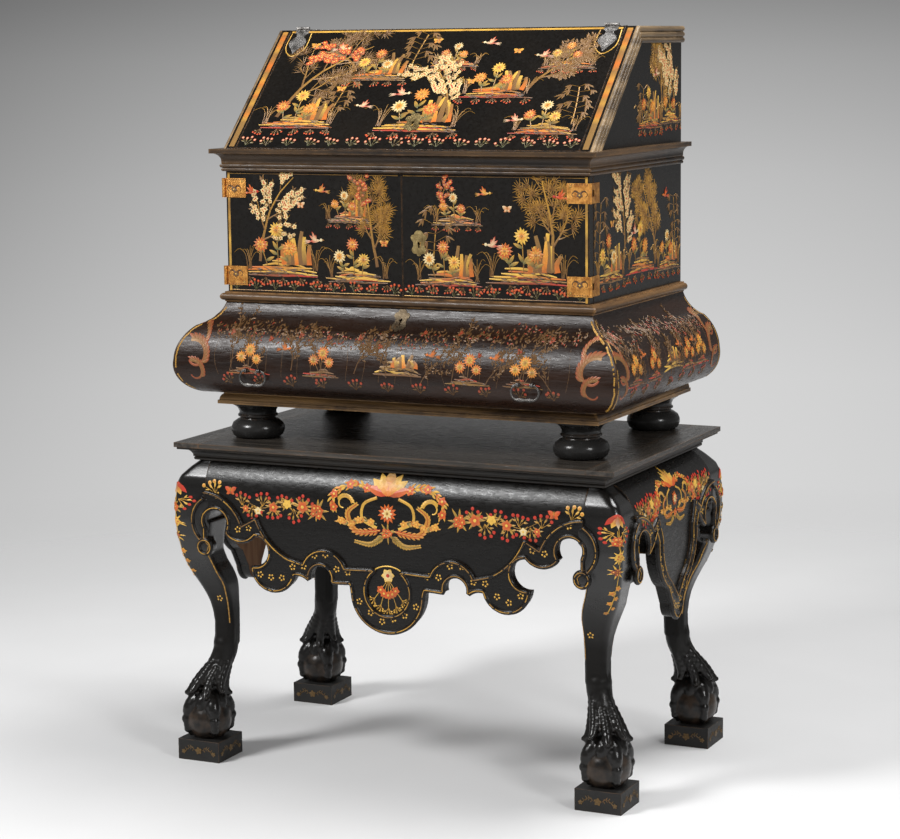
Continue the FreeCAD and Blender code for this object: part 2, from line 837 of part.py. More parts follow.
def drawer_back():
    half = drawer_outer_x - drawer_side_board
    return box(-half, half, drawer_rear - drawer_side_board, drawer_rear, drawer_low + drawer_bottom_board,
               drawer_low + drawer_side_height)


def drawer_bottom():
    half = drawer_outer_x - drawer_side_board
    return box(-half, half, -drawer_front_inner, drawer_rear, drawer_low, drawer_low + drawer_bottom_board)


def lock_case(centre, axis):
    """An iron lock box whose front lies at the centre point and whose body runs back along the axis."""
    across = Vector(1, 0, 0)
    down = axis.cross(across)
    start = centre - across * (lock_width * 0.5) - down * (lock_height * 0.5)
    corners = [start, start + across * lock_width, start + across * lock_width + down * lock_height,
               start + down * lock_height]
    return Part.Face(Part.makePolygon(corners + corners[:1])).extrude(axis * -lock_thickness)


def drawer_lock():
    low = min(drawer_key.z, drawer_high - lock_height * 0.5)
    return lock_case(Vector(0, -drawer_front_inner, low), front_axis)


def shield(place, centre_x, centre_z, width, height):
    """A lobed plate outline: waisted sides, a round foot and a cusped head."""
    def at(across_share, rise_share):
        return centre_x + width * across_share, centre_z + height * rise_share

    return outline(place, at(0, 0.5), [
        (at(0.22, 0.46), at(0.30, 0.34)), (at(0.48, 0.30), at(0.46, 0.12)),
        (at(0.36, -0.02), at(0.44, -0.18)), (at(0.40, -0.36), at(0.16, -0.40)),
        (at(0, -0.5), at(-0.16, -0.40)), (at(-0.40, -0.36), at(-0.44, -0.18)),
        (at(-0.36, -0.02), at(-0.46, 0.12)), (at(-0.48, 0.30), at(-0.30, 0.34)),
        (at(-0.22, 0.46), at(0, 0.5))])


def drawer_plate():
    """The escutcheon bent to the hollow under the waist."""
    skin = run_x(drawer_face(plate_thickness, 0), -drawer_plate_width, drawer_plate_width)
    skin = skin.cut(run_x(drawer_face(pin_clearance, 0), -drawer_plate_width, drawer_plate_width))
    shape = shield(in_front_view, 0, drawer_key.z, drawer_plate_width, drawer_plate_height)
    skin = skin.common(run_y(shape, -bombe_front - bombe_bulge - overrun, 0))
    return skin.cut(keyhole(drawer_key, front_axis))


# Pulls

pull_height = drawer_low + pull_rise
pull_axis_y = -(bombe_front + bombe_bulge + pull_stand_off)


def pull_posts():
    """Two turned posts with drilled eyes for each bail, let into the drawer's swelled front."""
    block = run_x(drawer_face(0, drawer_front_inner), -knee_x, knee_x)
    posts = []
    for centre in (-pull_spread, pull_spread):
        for side in (-0.5, 0.5):
            x = centre + post_spacing * side
            start = Vector(x, -bombe_front, pull_height)
            stem = Part.makeCylinder(post_radius, start.y - pull_axis_y, start, front_axis)
            end = Vector(x - eye_width * 0.5, pull_axis_y, pull_height)
            eye = Part.makeCylinder(eye_radius, eye_width, end, Vector(1, 0, 0))
            bore = Part.makeCylinder(bail_pin_radius + pin_clearance, eye_width + overrun,
                                     end - Vector(overrun * 0.5, 0, 0), Vector(1, 0, 0))
            posts.append(stem.fuse(eye).cut(bore).cut(block))
    return Part.makeCompound(posts)


def bail_arm(bend, middle, low):
    """The bent wire on one side of a bail."""
    arc = Part.Arc(bend, middle, low).toShape()
    first, last = arc.ParameterRange
    stations = []
    for number in range(bail_steps + 1):
        place = first + (last - first) * number / bail_steps
        normal = arc.tangentAt(place).cross(Vector(0, 1, 0))
        stations.append((arc.valueAt(place), Vector(0, 1, 0), normal, bail_wire_radius))
    return faceted_bar(stations)


def bail(centre):
    """A hanging bail: two pins in the posts' eyes, a C-shaped wire and a double grip along its foot."""
    inner = post_spacing * 0.5
    reach = eye_width * 0.5 + bail_wire_radius + knuckle_gap

    def at(x, z):
        return Vector(centre + x, pull_axis_y, pull_height + z)

    foot_half = bail_half_width * bail_foot_share
    pieces = []
    for side in (-1, 1):
        start = at(side * (inner - reach), 0)
        length = 2 * reach + bail_wire_radius
        pieces.append(Part.makeCylinder(bail_pin_radius, length, start, Vector(side, 0, 0)))
        pieces.append(bail_arm(at(side * (inner + reach), 0), at(side * bail_half_width, -bail_drop * 0.52),
                               at(side * foot_half, -bail_drop)))
    stations = []
    for along_share, radius_share in bail_grip_shares:
        point = at((foot_half + bail_wire_radius) * along_share, -bail_drop)
        stations.append((point, Vector(0, 1, 0), Vector(0, 0, 1), bail_grip_radius * radius_share))
    pieces.append(faceted_bar(stations))
    return fuse(pieces)


# Cupboard

def cupboard_floor():
    half = waist_half_width - waist_depth
    front = waist_front - waist_depth
    return box(-half, half, -front, desk_back, bombe_top, floor_top)


def case_side(side):
    """A side board of cupboard and slope in one, seen from the right: upright, then sloped to a level top."""
    face = outline(in_side_view, (-case_front, floor_top), [
        (-case_front, slope_floor), (-slope_foot, slope_floor), (ridge.y, ridge.z), (desk_back, desk_top),
        (desk_back, floor_top)])
    board = run_x(face, slope_half_width, case_half_width)
    return board if side == "right" else mirror_x(board)


def case_back():
    return box(-slope_half_width, slope_half_width, desk_back - back_board, desk_back, floor_top,
               desk_top - top_thickness)


def cupboard_shelf():
    middle = floor_top + door_height * 0.5
    return box(-slope_half_width, slope_half_width, -case_front + shelf_set_back, desk_back - back_board,
               middle - thin_board * 0.5, middle + thin_board * 0.5)


door_low = floor_top + fit_gap
door_high = door_top - fit_gap
door_key = Vector(door_plate_x, -door_face, floor_top + door_plate_rise)


def door(side):
    board = box(fit_gap * 0.5, case_half_width - fit_gap, -door_face, -door_face + door_thickness,
                door_low, door_high)
    if side == "left":
        return mirror_x(board)
    return board.cut(keyhole(door_key, front_axis))


def door_lock():
    return lock_case(Vector(door_key.x, -door_face + door_thickness, door_key.z), front_axis)


def door_plate():
    shape = shield(in_front_view, door_key.x, door_key.z, door_plate_width, door_plate_height)
    plate = run_y(shape, -door_face - plate_thickness, -door_face)
    return plate.cut(keyhole(door_key, front_axis))


# Door hinges: a leaf on the door's face, a leaf round the corner on the case, three knuckles and a pin

door_axis_x = case_half_width + hinge_stand_off
door_axis_y = -door_face - hinge_stand_off
door_hinge_heights = (door_low + door_hinge_inset, door_high - door_hinge_inset)


def barrel(centre, axis, low, high):
    """A knuckle along the axis between two distances from the hinge's middle, bored for its pin."""
    tube = Part.makeCylinder(knuckle_barrel_radius, high - low, centre + axis * low, axis)
    bore = Part.makeCylinder(hinge_pin_radius + pin_clearance, high - low + 2 * overrun,
                             centre + axis * (low - overrun), axis)
    return tube, bore


def knuckle_spans(width):
    """The lower, middle and upper knuckle along a hinge of a given width."""
    third = width / 3
    gap = knuckle_gap * 0.5
    return ((-width * 0.5, -third * 0.5 - gap), (-third * 0.5 + gap, third * 0.5 - gap),
            (third * 0.5 + gap, width * 0.5))


up = Vector(0, 0, 1)


def right_door_leaves():
    leaves = []
    for height in door_hinge_heights:
        centre = Vector(door_axis_x, door_axis_y, height)
        low, high = knuckle_spans(door_leaf_height)[1]
        tube, bore = barrel(centre, up, low, high)
        half = door_leaf_height * 0.5
        far = case_half_width - door_leaf_width
        plate = box(far, case_half_width - fit_gap, -door_face - leaf_thickness, -door_face,
                    height - half, height + half)
        neck = box(case_half_width - fit_gap - joint_gap, door_axis_x, -door_face - leaf_thickness,
                   -door_face, height + low, height + high)
        leaves.append(fuse([plate, neck, tube]).cut(bore))
    return Part.makeCompound(leaves)


def case_door_leaves():
    leaves = []
    for height in door_hinge_heights:
        centre = Vector(door_axis_x, door_axis_y, height)
        half = door_leaf_height * 0.5
        pieces = [box(case_half_width, case_half_width + leaf_thickness, -case_front,
                      -door_face + door_leaf_width, height - half, height + half)]
        spans = knuckle_spans(door_leaf_height)
        bores = []
        for low, high in (spans[0], spans[2]):
            tube, bore = barrel(centre, up, low, high)
            neck = box(case_half_width, case_half_width + leaf_thickness, door_axis_y,
                       -case_front + joint_gap, height + low, height + high)
            pieces.extend([tube, neck])
            bores.append(bore)
        leaf = fuse(pieces)
        for bore in bores:
            leaf = leaf.cut(bore)
        leaves.extend([leaf, mirror_x(leaf)])
    return Part.makeCompound(leaves)


# Slope section

def slope_section_floor():
    return box(-slope_half_width, slope_half_width, -case_front, desk_back - back_board,
               door_top, slope_floor)


def on_slope(along, out):
    """A point on the lid's section: a distance down from the ridge and a distance out of its face."""
    point = ridge + slope_down * along + slope_out * out
    return point.y, point.z


def top_board():
    """The level top, its front edge square to the slope."""
    front = on_slope(0, -top_thickness / math.cos(slope_angle))
    return run_x(outline(in_side_view, (ridge.y, ridge.z), [
        (desk_back, desk_top), (desk_back, desk_top - top_thickness), (front[0], desk_top - top_thickness)]),
        -slope_half_width, slope_half_width)


def lid_board():
    foot = slope_length - fit_gap
    deep = -top_thickness
    section = outline(in_side_view, on_slope(fit_gap, 0), [
        on_slope(foot, 0), on_slope(foot + deep / math.tan(slope_angle), deep), on_slope(fit_gap, deep)])
    board = run_x(section, -slope_half_width + fit_gap, slope_half_width - fit_gap)
    return board.cut(keyhole(lid_key, slope_out))


lid_key = ridge + slope_down * (slope_length - lid_plate_rise)


def lid_lock():
    return lock_case(lid_key - slope_out * top_thickness, slope_out)


def lid_plate():
    shape = shield(in_plan, 0, 0, lid_plate_width, lid_plate_height)
    plate = shape.extrude(Vector(0, 0, plate_thickness))
    plate.rotate(Vector(0, 0, 0), Vector(1, 0, 0), math.degrees(slope_angle))
    return plate.translated(lid_key).cut(keyhole(lid_key, slope_out))


def reeding_face(width, out):
    """Section of the reeded strip: its width across and its proud half-round reeds."""
    reed = width / reed_count
    steps = [(0, out)]
    for number in range(reed_count):
        start = reed * number
        steps.append(((start + reed * 0.5, out + reed * 0.42), (start + reed, out)))
    steps.append((width, 0))
    return steps


def side_reeding():
    """Reeded strips on the outside of the slope side, mitred where the slope meets the top."""
    inward = Vector(0, math.sin(half_turn), -math.cos(half_turn))
    mitre = ridge + inward * (reeding_width / math.cos(half_turn))
    strips = []
    top_plan = outline(in_side_view, (ridge.y, ridge.z), [
        (desk_back, desk_top), (desk_back, mitre.z), (mitre.y, mitre.z)])
    foot_inner = mitre + slope_down * ((mitre.z - slope_floor) / math.sin(slope_angle))
    slope_plan = outline(in_side_view, (ridge.y, ridge.z), [
        (mitre.y, mitre.z), (foot_inner.y, slope_floor), (-slope_foot, slope_floor)])

    def level(across, out):
        return Vector(case_half_width + out, 0, desk_top - across)

    section = outline(level, (0, 0), reeding_face(reeding_width, reeding_base))
    level_run = run_y(section, ridge.y - overrun, desk_back)
    strips.append(level_run.common(run_x(top_plan, case_half_width, case_half_width + reeding_width)))
    sloped = run_y(section, ridge.y - slope_length - overrun, ridge.y + overrun)
    sloped.rotate(ridge, Vector(1, 0, 0), math.degrees(slope_angle))
    strips.append(sloped.common(run_x(slope_plan, case_half_width, case_half_width + reeding_width)))
    return Part.makeCompound(strips + [mirror_x(strip) for strip in strips])


def pigeonhole_shelf():
    front = desk_back - back_board - pigeonhole_depth
    low = slope_floor + pigeonhole_height
    return box(-slope_half_width, slope_half_width, front, desk_back - back_board, low, low + thin_board)


def pigeonhole_uprights():
    front = desk_back - back_board - pigeonhole_depth
    pitch = 2 * slope_half_width / pigeonhole_count
    boards = []
    for number in range(1, pigeonhole_count):
        x = -slope_half_width + pitch * number
        boards.append(box(x - thin_board * 0.5, x + thin_board * 0.5, front, desk_back - back_board,
                          slope_floor, slope_floor + pigeonhole_height))
    return Part.makeCompound(boards)


# Lid hinges: pointed straps on the lid and on the top, with knuckles along the ridge

strap_knuckles = strap_width * strap_knuckle_share
outward = Vector(0, -math.sin(half_turn), math.cos(half_turn))
lid_axis = ridge + outward * (hinge_stand_off / math.cos(half_turn))
strap_centres = (strap_inset - slope_half_width, slope_half_width - strap_inset)


def strap(length):
    """A strap seen flat: full width at the knuckle, waisted, then swelling and running to a point."""
    half = strap_width * 0.5

    def at(across_share, along_share):
        return half * across_share, -length * along_share

    return outline(in_plan, at(-0.8, 0), [
        at(0.8, 0), at(0.8, 0.16), (at(0.48, 0.24), at(0.72, 0.36)), (at(1.02, 0.55), at(0.56, 0.76)),
        at(0, 1), at(-0.56, 0.76), (at(-1.02, 0.55), at(-0.72, 0.36)), (at(-0.48, 0.24), at(-0.8, 0.16))])


along = Vector(1, 0, 0)


def knuckle_room(x, span):
    """Space cut round a knuckle of the other leaf."""
    low, high = span
    return Part.makeCylinder(knuckle_barrel_radius + knuckle_gap, high - low + knuckle_gap,
                             Vector(x + low - knuckle_gap * 0.5, lid_axis.y, lid_axis.z), along)


def lid_straps():
    leaves = []
    spans = knuckle_spans(strap_knuckles)
    for x in strap_centres:
        leaf = strap(strap_length).extrude(Vector(0, 0, leaf_thickness))
        leaf.rotate(Vector(0, 0, 0), Vector(1, 0, 0), math.degrees(slope_angle))
        leaf = leaf.translated(ridge + slope_down * fit_gap + along * x)
        low, high = spans[1]
        tube, bore = barrel(Vector(x, lid_axis.y, lid_axis.z), along, low, high)
        neck = outline(in_side_view, on_slope(fit_gap, 0), [
            on_slope(fit_gap + leaf_thickness, 0), on_slope(fit_gap + leaf_thickness, leaf_thickness),
            (lid_axis.y, lid_axis.z)])
        leaf = fuse([leaf, run_x(neck, x + low, x + high), tube]).cut(bore)
        leaves.append(leaf.cut(knuckle_room(x, spans[0])).cut(knuckle_room(x, spans[2])))
    return Part.makeCompound(leaves)


def top_straps():
    leaves = []
    spans = knuckle_spans(strap_knuckles)
    for x in strap_centres:
        leaf = strap(top_strap_length).extrude(Vector(0, 0, leaf_thickness))
        leaf.rotate(Vector(0, 0, 0), up, 180)
        pieces = [leaf.translated(ridge + Vector(x, 0, 0))]
        bores = []
        neck = outline(in_side_view, (ridge.y, desk_top), [
            (lid_axis.y, lid_axis.z), (ridge.y + leaf_thickness, desk_top + leaf_thickness),
            (ridge.y + leaf_thickness, desk_top)])
        for low, high in (spans[0], spans[2]):
            tube, bore = barrel(Vector(x, lid_axis.y, lid_axis.z), along, low, high)
            pieces.extend([tube, run_x(neck, x + low, x + high)])
            bores.append(bore)
        leaf = fuse(pieces).cut(knuckle_room(x, spans[1]))
        for bore in bores:
            leaf = leaf.cut(bore)
        leaves.append(leaf)
    return Part.makeCompound(leaves)


def hinge_pins():
    """Pins of the door hinges and of the lid hinges, each as long as its three knuckles."""
    pins = []
    for height in door_hinge_heights:
        foot = Vector(door_axis_x, door_axis_y, height - door_leaf_height * 0.5)
        pin = Part.makeCylinder(hinge_pin_radius, door_leaf_height, foot, up)
        pins.extend([pin, mirror_x(pin)])
    for x in strap_centres:
        end = Vector(x - strap_knuckles * 0.5, lid_axis.y, lid_axis.z)
        pins.append(Part.makeCylinder(hinge_pin_radius, strap_knuckles, end, along))
    return Part.makeCompound(pins)


def stand_pieces():
    side_ears = side_scroll_ear()
    front_leg = leg(scroll_ear() + side_ears)
    rear_leg = leg(side_ears)
    right = right_apron()
    return {
        "leg_front_right": mirror_y(front_leg),
        "leg_front_left": mirror_x(mirror_y(front_leg)),
        "leg_rear_right": rear_leg,
        "leg_rear_left": mirror_x(rear_leg),
        "plinth_blocks": plinth_blocks(),
        "apron_front": front_apron(),
        "apron_right": right,
        "apron_left": mirror_x(right),
        "apron_rear": rear_apron(),
        "apron_corner_blocks": corner_blocks(),
        "stand_top_planks": stand_planks(),
        "stand_top_cleats": stand_cleats(),
        "stand_moulding_front": stand_moulding_front(),
        "stand_moulding_rear": mirror_y(stand_moulding_front()),
        "stand_moulding_sides": stand_moulding_sides()}


def case_pieces():
    return {
        "bun_feet": bun_feet(),
        "base_moulding_front": base_moulding_front(),
        "base_moulding_sides": base_moulding_sides(),
        "case_bottom": case_bottom(),
        "bombe_side_left": bombe_side("left"),
        "bombe_side_right": bombe_side("right"),
        "drawer_runners": drawer_runners(),
        "drawer_case_back": drawer_case_back(),
        "waist_moulding_front": waist_moulding_front(),
        "waist_moulding_sides": waist_moulding_sides(),
        "cupboard_floor": cupboard_floor(),
        "cupboard_shelf": cupboard_shelf(),
        "case_side_left": case_side("left"),
        "case_side_right": case_side("right"),
        "case_back": case_back(),
        "cornice_front": cornice_front_piece(),
        "cornice_sides": cornice_sides(),
        "slope_floor": slope_section_floor(),
        "top_board": top_board(),
        "side_reeding": side_reeding(),
        "pigeonhole_shelf": pigeonhole_shelf(),
        "pigeonhole_uprights": pigeonhole_uprights(),
        "door_case_leaves": case_door_leaves(),
        "lid_top_straps": top_straps(),
        "hinge_pins": hinge_pins()}


def moving_pieces():
    right_leaves = right_door_leaves()
    return {
        "drawer_front": drawer_front(),
        "drawer_sides": drawer_sides(),
        "drawer_back": drawer_back(),
        "drawer_bottom": drawer_bottom(),
        "drawer_lock": drawer_lock(),
        "drawer_escutcheon": drawer_plate(),
        "drawer_pull_posts": pull_posts(),
        "drawer_bail_left": bail(-pull_spread),
        "drawer_bail_right": bail(pull_spread),
        "door_left": door("left"),
        "door_left_leaves": mirror_x(right_leaves),
        "door_right": door("right"),
        "door_right_leaves": right_leaves,
        "door_lock": door_lock(),
        "door_escutcheon": door_plate(),
        "lid": lid_board(),
        "lid_straps": lid_straps(),
        "lid_lock": lid_lock(),
        "lid_escutcheon": lid_plate()}


for group in (stand_pieces(), case_pieces(), moving_pieces()):
    for name, shape in group.items():
        shape.exportStep("parts/" + name + ".step")
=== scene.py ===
import random
from math import atan2, copysign, cos, hypot, pi, radians, sin, tau
from types import SimpleNamespace

import bmesh
import bpy
from bpy.props import FloatProperty, FloatVectorProperty, IntProperty, PointerProperty
from mathutils import Matrix, Vector
from mathutils.bvhtree import BVHTree


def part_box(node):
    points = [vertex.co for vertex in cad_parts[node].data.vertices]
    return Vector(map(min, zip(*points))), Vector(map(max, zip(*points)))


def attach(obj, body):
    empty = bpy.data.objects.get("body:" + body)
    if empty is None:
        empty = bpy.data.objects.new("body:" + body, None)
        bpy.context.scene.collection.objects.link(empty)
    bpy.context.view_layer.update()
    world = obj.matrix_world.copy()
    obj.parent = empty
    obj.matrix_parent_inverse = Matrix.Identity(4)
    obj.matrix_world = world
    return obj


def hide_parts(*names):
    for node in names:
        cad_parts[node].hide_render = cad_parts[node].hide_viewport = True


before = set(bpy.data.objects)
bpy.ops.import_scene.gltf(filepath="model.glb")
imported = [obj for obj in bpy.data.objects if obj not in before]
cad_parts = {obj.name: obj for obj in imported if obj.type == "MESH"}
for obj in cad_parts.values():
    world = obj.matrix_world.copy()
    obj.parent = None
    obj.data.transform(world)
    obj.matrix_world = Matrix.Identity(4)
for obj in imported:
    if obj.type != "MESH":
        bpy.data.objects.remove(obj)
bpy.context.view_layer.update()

bl_info = {
    "name": "Lacquered desk on stand",
    "version": (1, 0, 0),
    "blender": (4, 5, 0),
    "location": "View3D > Sidebar > Desk",
    "description": "Dresses a slope-front desk on its stand: lacquer, gilding, painted flowers and ironwork",
    "category": "Object",
}

LEGS = ("leg_front_left", "leg_front_right", "leg_rear_left", "leg_rear_right")
FRONT = (Vector((1, 0, 0)), Vector((0, 0, 1)))
RIGHT = (Vector((0, 1, 0)), Vector((0, 0, 1)))
LEFT = (Vector((0, -1, 0)), Vector((0, 0, 1)))
# How near, in metres, a point has to be to count as lying on a joint between a leg and an apron
JOINT_REACH = 0.001
# The same for a flat face or a level, for corners that are one, and the least length to divide by
FLAT_REACH = 0.0005
MERGE_REACH = 0.00002
TINY = 1e-9
# Distance between the points along a carved ridge
RIDGE_STEP = 0.004
# Drawing angles, in radians: straight up, and the range of a random turn
UP = 1.57
ANY_TURN = 6.28
# Petals and heart of the flowering boughs
PALE = ("straw", "cream", "red")
WARM = ("orange", "red", "straw")


# Settings that a user would change

def colour(name, description, default):
    return FloatVectorProperty(name=name, description=description, default=default, subtype="COLOR",
                               size=3, min=0.0, max=1.0)


def length(name, description, default):
    return FloatProperty(name=name, description=description, default=default, min=0.0, unit="LENGTH")


class DeskColours(bpy.types.PropertyGroup):
    """Colours of the lacquer, the mouldings and the paint."""
    black: colour("Black lacquer", "Ground of the panels", (0.0042, 0.0037, 0.0032))
    brown: colour("Brown lacquer", "Ground of the swelled drawer section", (0.04, 0.015, 0.0064))
    worn: colour("Worn wood", "Wood that shows where lacquer has rubbed off", (0.15, 0.076, 0.03))
    ochre: colour("Worn ochre", "Golden brown of the rubbed mouldings", (0.27, 0.145, 0.038))
    gold: colour("Gold paint", "Gilt lines, stems and leaves", (0.63, 0.335, 0.045))
    straw: colour("Straw paint", "Pale yellow of petals and mounds", (0.8, 0.48, 0.075))
    red: colour("Red paint", "Vermilion blossoms", (0.52, 0.032, 0.012))
    orange: colour("Orange paint", "Warm edges of mounds and petals", (0.66, 0.155, 0.016))
    cream: colour("Cream paint", "Pale blossoms and birds", (0.78, 0.64, 0.37))
    green: colour("Green paint", "Dull green of leaves and grass", (0.085, 0.105, 0.04))
    umber: colour("Umber paint", "Dark shade under mounds and in foliage", (0.18, 0.085, 0.03))


class DeskSizes(bpy.types.PropertyGroup):
    """Sizes of the relief, the carving and the stage, and the seed of the drawing."""
    relief: length("Relief", "Height of the painted strokes", 0.00035)
    sink: length("Sink", "How far the strokes are bedded in the lacquer", 0.00025)
    carving: length("Carving", "Finest detail of the carved legs", 0.0028)
    foot_radius: length("Foot radius", "Radius of the turned bun feet", 0.057)
    ball_radius: length("Ball radius", "Radius of the balls that the claws hold", 0.049)
    ridge: length("Ridge radius", "Radius of the rounded ridges along the carved band", 0.0054)
    floor_radius: length("Floor", "Radius of the floor", 9.0)
    seed: IntProperty(name="Seed", description="Start of the drawing's random numbers", default=7)


# Node trees

class Bench:
    """A node tree with short calls that add and link nodes."""

    def __init__(self, tree):
        self.tree = tree

    def feed(self, socket, value):
        if isinstance(value, bpy.types.NodeSocket):
            self.tree.links.new(value, socket)
        else:
            socket.default_value = value

    def add(self, kind, inputs=None, **settings):
        node = self.tree.nodes.new(kind)
        for name, value in settings.items():
            setattr(node, name, value)
        for key, value in (inputs or {}).items():
            self.feed(node.inputs[key], value)
        return node

    def math(self, operation, first, second=0.5, clamp=False):
        node = self.add("ShaderNodeMath", {0: first, 1: second}, operation=operation, use_clamp=clamp)
        return node.outputs[0]

    def times(self, first, second):
        return self.math("MULTIPLY", first, second)

    def vector(self, operation, first, second=None, result="Value"):
        inputs = {0: first} if second is None else {0: first, 1: second}
        return self.add("ShaderNodeVectorMath", inputs, operation=operation).outputs[result]

    def scaled(self, value, low, high, new_low=0.0, new_high=1.0):
        node = self.add("ShaderNodeMapRange", {"Value": value, "From Min": low, "From Max": high,
                                               "To Min": new_low, "To Max": new_high})
        return node.outputs["Result"]

    def noise(self, where, scale, detail, **more):
        inputs = {"Vector": where, "Scale": scale, "Detail": detail, **more}
        return self.add("ShaderNodeTexNoise", inputs).outputs["Fac"]

    def mix(self, share, first, second):
        """Two colours mixed; sockets 6, 7 and 2 are the node's colour ones."""
        node = self.add("ShaderNodeMix", data_type="RGBA")
        self.feed(node.inputs[0], share)
        for socket, value in ((node.inputs[6], first), (node.inputs[7], second)):
            self.feed(socket, value if isinstance(value, bpy.types.NodeSocket) else (*value, 1.0))
        return node.outputs[2]

    def spot(self):
        return self.add("ShaderNodeTexCoord").outputs["Object"]

    def place(self, stretch=(1.0, 1.0, 1.0)):
        return self.add("ShaderNodeMapping", {"Vector": self.spot(), "Scale": stretch}).outputs["Vector"]

    def normal(self):
        return self.add("ShaderNodeNewGeometry").outputs["Normal"]

    def rounded(self, radius):
        return self.add("ShaderNodeBevel", {"Radius": radius}, samples=4).outputs["Normal"]


def new_group(name, inputs, outputs):
    """An empty shader group; returns its bench, the sockets that it is given and those that it fills."""
    tree = bpy.data.node_groups.new(name, "ShaderNodeTree")
    for label, default in inputs.items():
        kind = "NodeSocketVector" if isinstance(default, tuple) else "NodeSocketFloat"
        tree.interface.new_socket(name=label, in_out="INPUT", socket_type=kind).default_value = default
    for label in outputs:
        tree.interface.new_socket(name=label, in_out="OUTPUT", socket_type="NodeSocketFloat")
    bench = Bench(tree)
    return bench, bench.add("NodeGroupInput").outputs, bench.add("NodeGroupOutput").inputs


def edge_wear_group():
    """A mask that is 1 along rubbed arrises and breaks up over the surface."""
    bench, given, result = new_group("Edge wear", {"Reach": 0.004, "Breakup": 40.0, "Amount": 1.0}, ("Mask",))
    facing = bench.vector("DOT_PRODUCT", bench.rounded(given["Reach"]), bench.normal())
    bent = bench.scaled(facing, 0.995, 0.8)
    spots = bench.noise(bench.place(), given["Breakup"], 5.0, Roughness=0.65)
    broken = bench.math("MULTIPLY", bent, bench.scaled(spots, 0.36, 0.62), clamp=True)
    bench.feed(result["Mask"], bench.math("MULTIPLY", broken, given["Amount"], clamp=True))
    return bench.tree


def mottle_group():
    """Soft clouds, fine specks and scuffs that vary a lacquered surface."""
    bench, given, result = new_group("Mottle", {"Scale": 7.0, "Stretch": (1.0, 1.0, 1.0)},
                                     ("Clouds", "Specks", "Scuffs"))
    where = bench.place(given["Stretch"])
    clouds = bench.noise(where, given["Scale"], 6.0, Roughness=0.62)
    specks = bench.noise(where, bench.times(given["Scale"], 22.0), 4.0, Roughness=0.7)
    scuffs = bench.noise(where, bench.times(given["Scale"], 3.0), 8.0, Roughness=0.75, Distortion=1.2)
    bench.feed(result["Clouds"], bench.scaled(clouds, 0.32, 0.7))
    bench.feed(result["Specks"], bench.scaled(specks, 0.3, 0.72))
    bench.feed(result["Scuffs"], bench.scaled(scuffs, 0.56, 0.74))
    return bench.tree


def grain_group():
    """Wood grain that runs along one direction of the piece."""
    bench, given, result = new_group("Wood grain", {"Stretch": (1.0, 12.0, 12.0), "Scale": 6.0},
                                     ("Rings", "Pores"))
    where = bench.place(given["Stretch"])
    rings = bench.noise(where, given["Scale"], 5.0, Distortion=0.6)
    pores = bench.noise(where, bench.times(given["Scale"], 9.0), 3.0)
    bench.feed(result["Rings"], bench.scaled(rings, 0.3, 0.7))
    bench.feed(result["Pores"], bench.scaled(pores, 0.35, 0.68))
    return bench.tree


MAKERS = {"Edge wear": edge_wear_group, "Mottle": mottle_group, "Wood grain": grain_group}


def group(bench, name, **inputs):
    """Place a shared group in a material, building it the first time; returns its outputs."""
    tree = bpy.data.node_groups.get(name) or MAKERS[name]()
    return bench.add("ShaderNodeGroup", inputs, node_tree=tree).outputs


def new_material(name, **constants):
    """A material with one Principled shader; returns the material, its bench and the shader's sockets."""
    material = bpy.data.materials.new(name)
    material.use_nodes = True
    shader = material.node_tree.nodes["Principled BSDF"].inputs
    for key, value in constants.items():
        shader[key.replace("_", " ")].default_value = value
    return material, Bench(material.node_tree), shader


def surface(bench, shader, base, rough, height, distance, strength, normal=None):
    """Feed a shader its colour, its roughness and a bumpy normal."""
    inputs = {"Height": height, "Distance": distance, "Strength": strength}
    if normal is not None:
        inputs["Normal"] = normal
    bench.feed(shader["Base Color"], base)
    bench.feed(shader["Roughness"], rough)
    bench.feed(shader["Normal"], bench.add("ShaderNodeBump", inputs).outputs["Normal"])


# Finishes

SCUFF_TONE = (0.026, 0.023, 0.02)
BALL_TONE = (0.036, 0.024, 0.016)
STAND_CLOUD = (0.0085, 0.0074, 0.0065)
# Heights above the floor, in metres, between which the legs' looks change
HAIR_BAND = (0.16, 0.29)
SHANK_TOP = (0.45, 0.32)
SHANK_FOOT = (0.16, 0.26)


def tone(name):
    """A colour of the settings."""
    return tuple(getattr(bpy.context.scene.desk_colours, name))


def worn_balls(bench, where):
    """A mask of the balls under the claws, rubbed brown, with a broken edge."""
    ball = bpy.context.scene.desk_sizes.ball_radius
    centre = ball_centre(1, 1)
    mirrored = bench.vector("ABSOLUTE", where, result="Vector")
    away = bench.vector("DISTANCE", mirrored, tuple(centre))
    spots = bench.noise(where, 45.0, 4.0)
    return bench.times(bench.scaled(away, 1.03 * ball, ball), bench.scaled(spots, 0.35, 0.65))


def bare_inside(bench, base, rough, inside):
    """Bare wood on the faces that look towards the inside; returns colour and roughness."""
    facing = bench.vector("DOT_PRODUCT", bench.normal(), inside)
    bare = bench.scaled(facing, 0.55, 0.65)
    grain = group(bench, "Wood grain", Stretch=(8.0, 8.0, 1.0), Scale=6.0)
    wood = bench.mix(grain["Rings"], (0.105, 0.045, 0.018), (0.215, 0.105, 0.045))
    return bench.mix(bare, base, wood), bench.math("MAXIMUM", rough, bench.times(bare, 0.7))


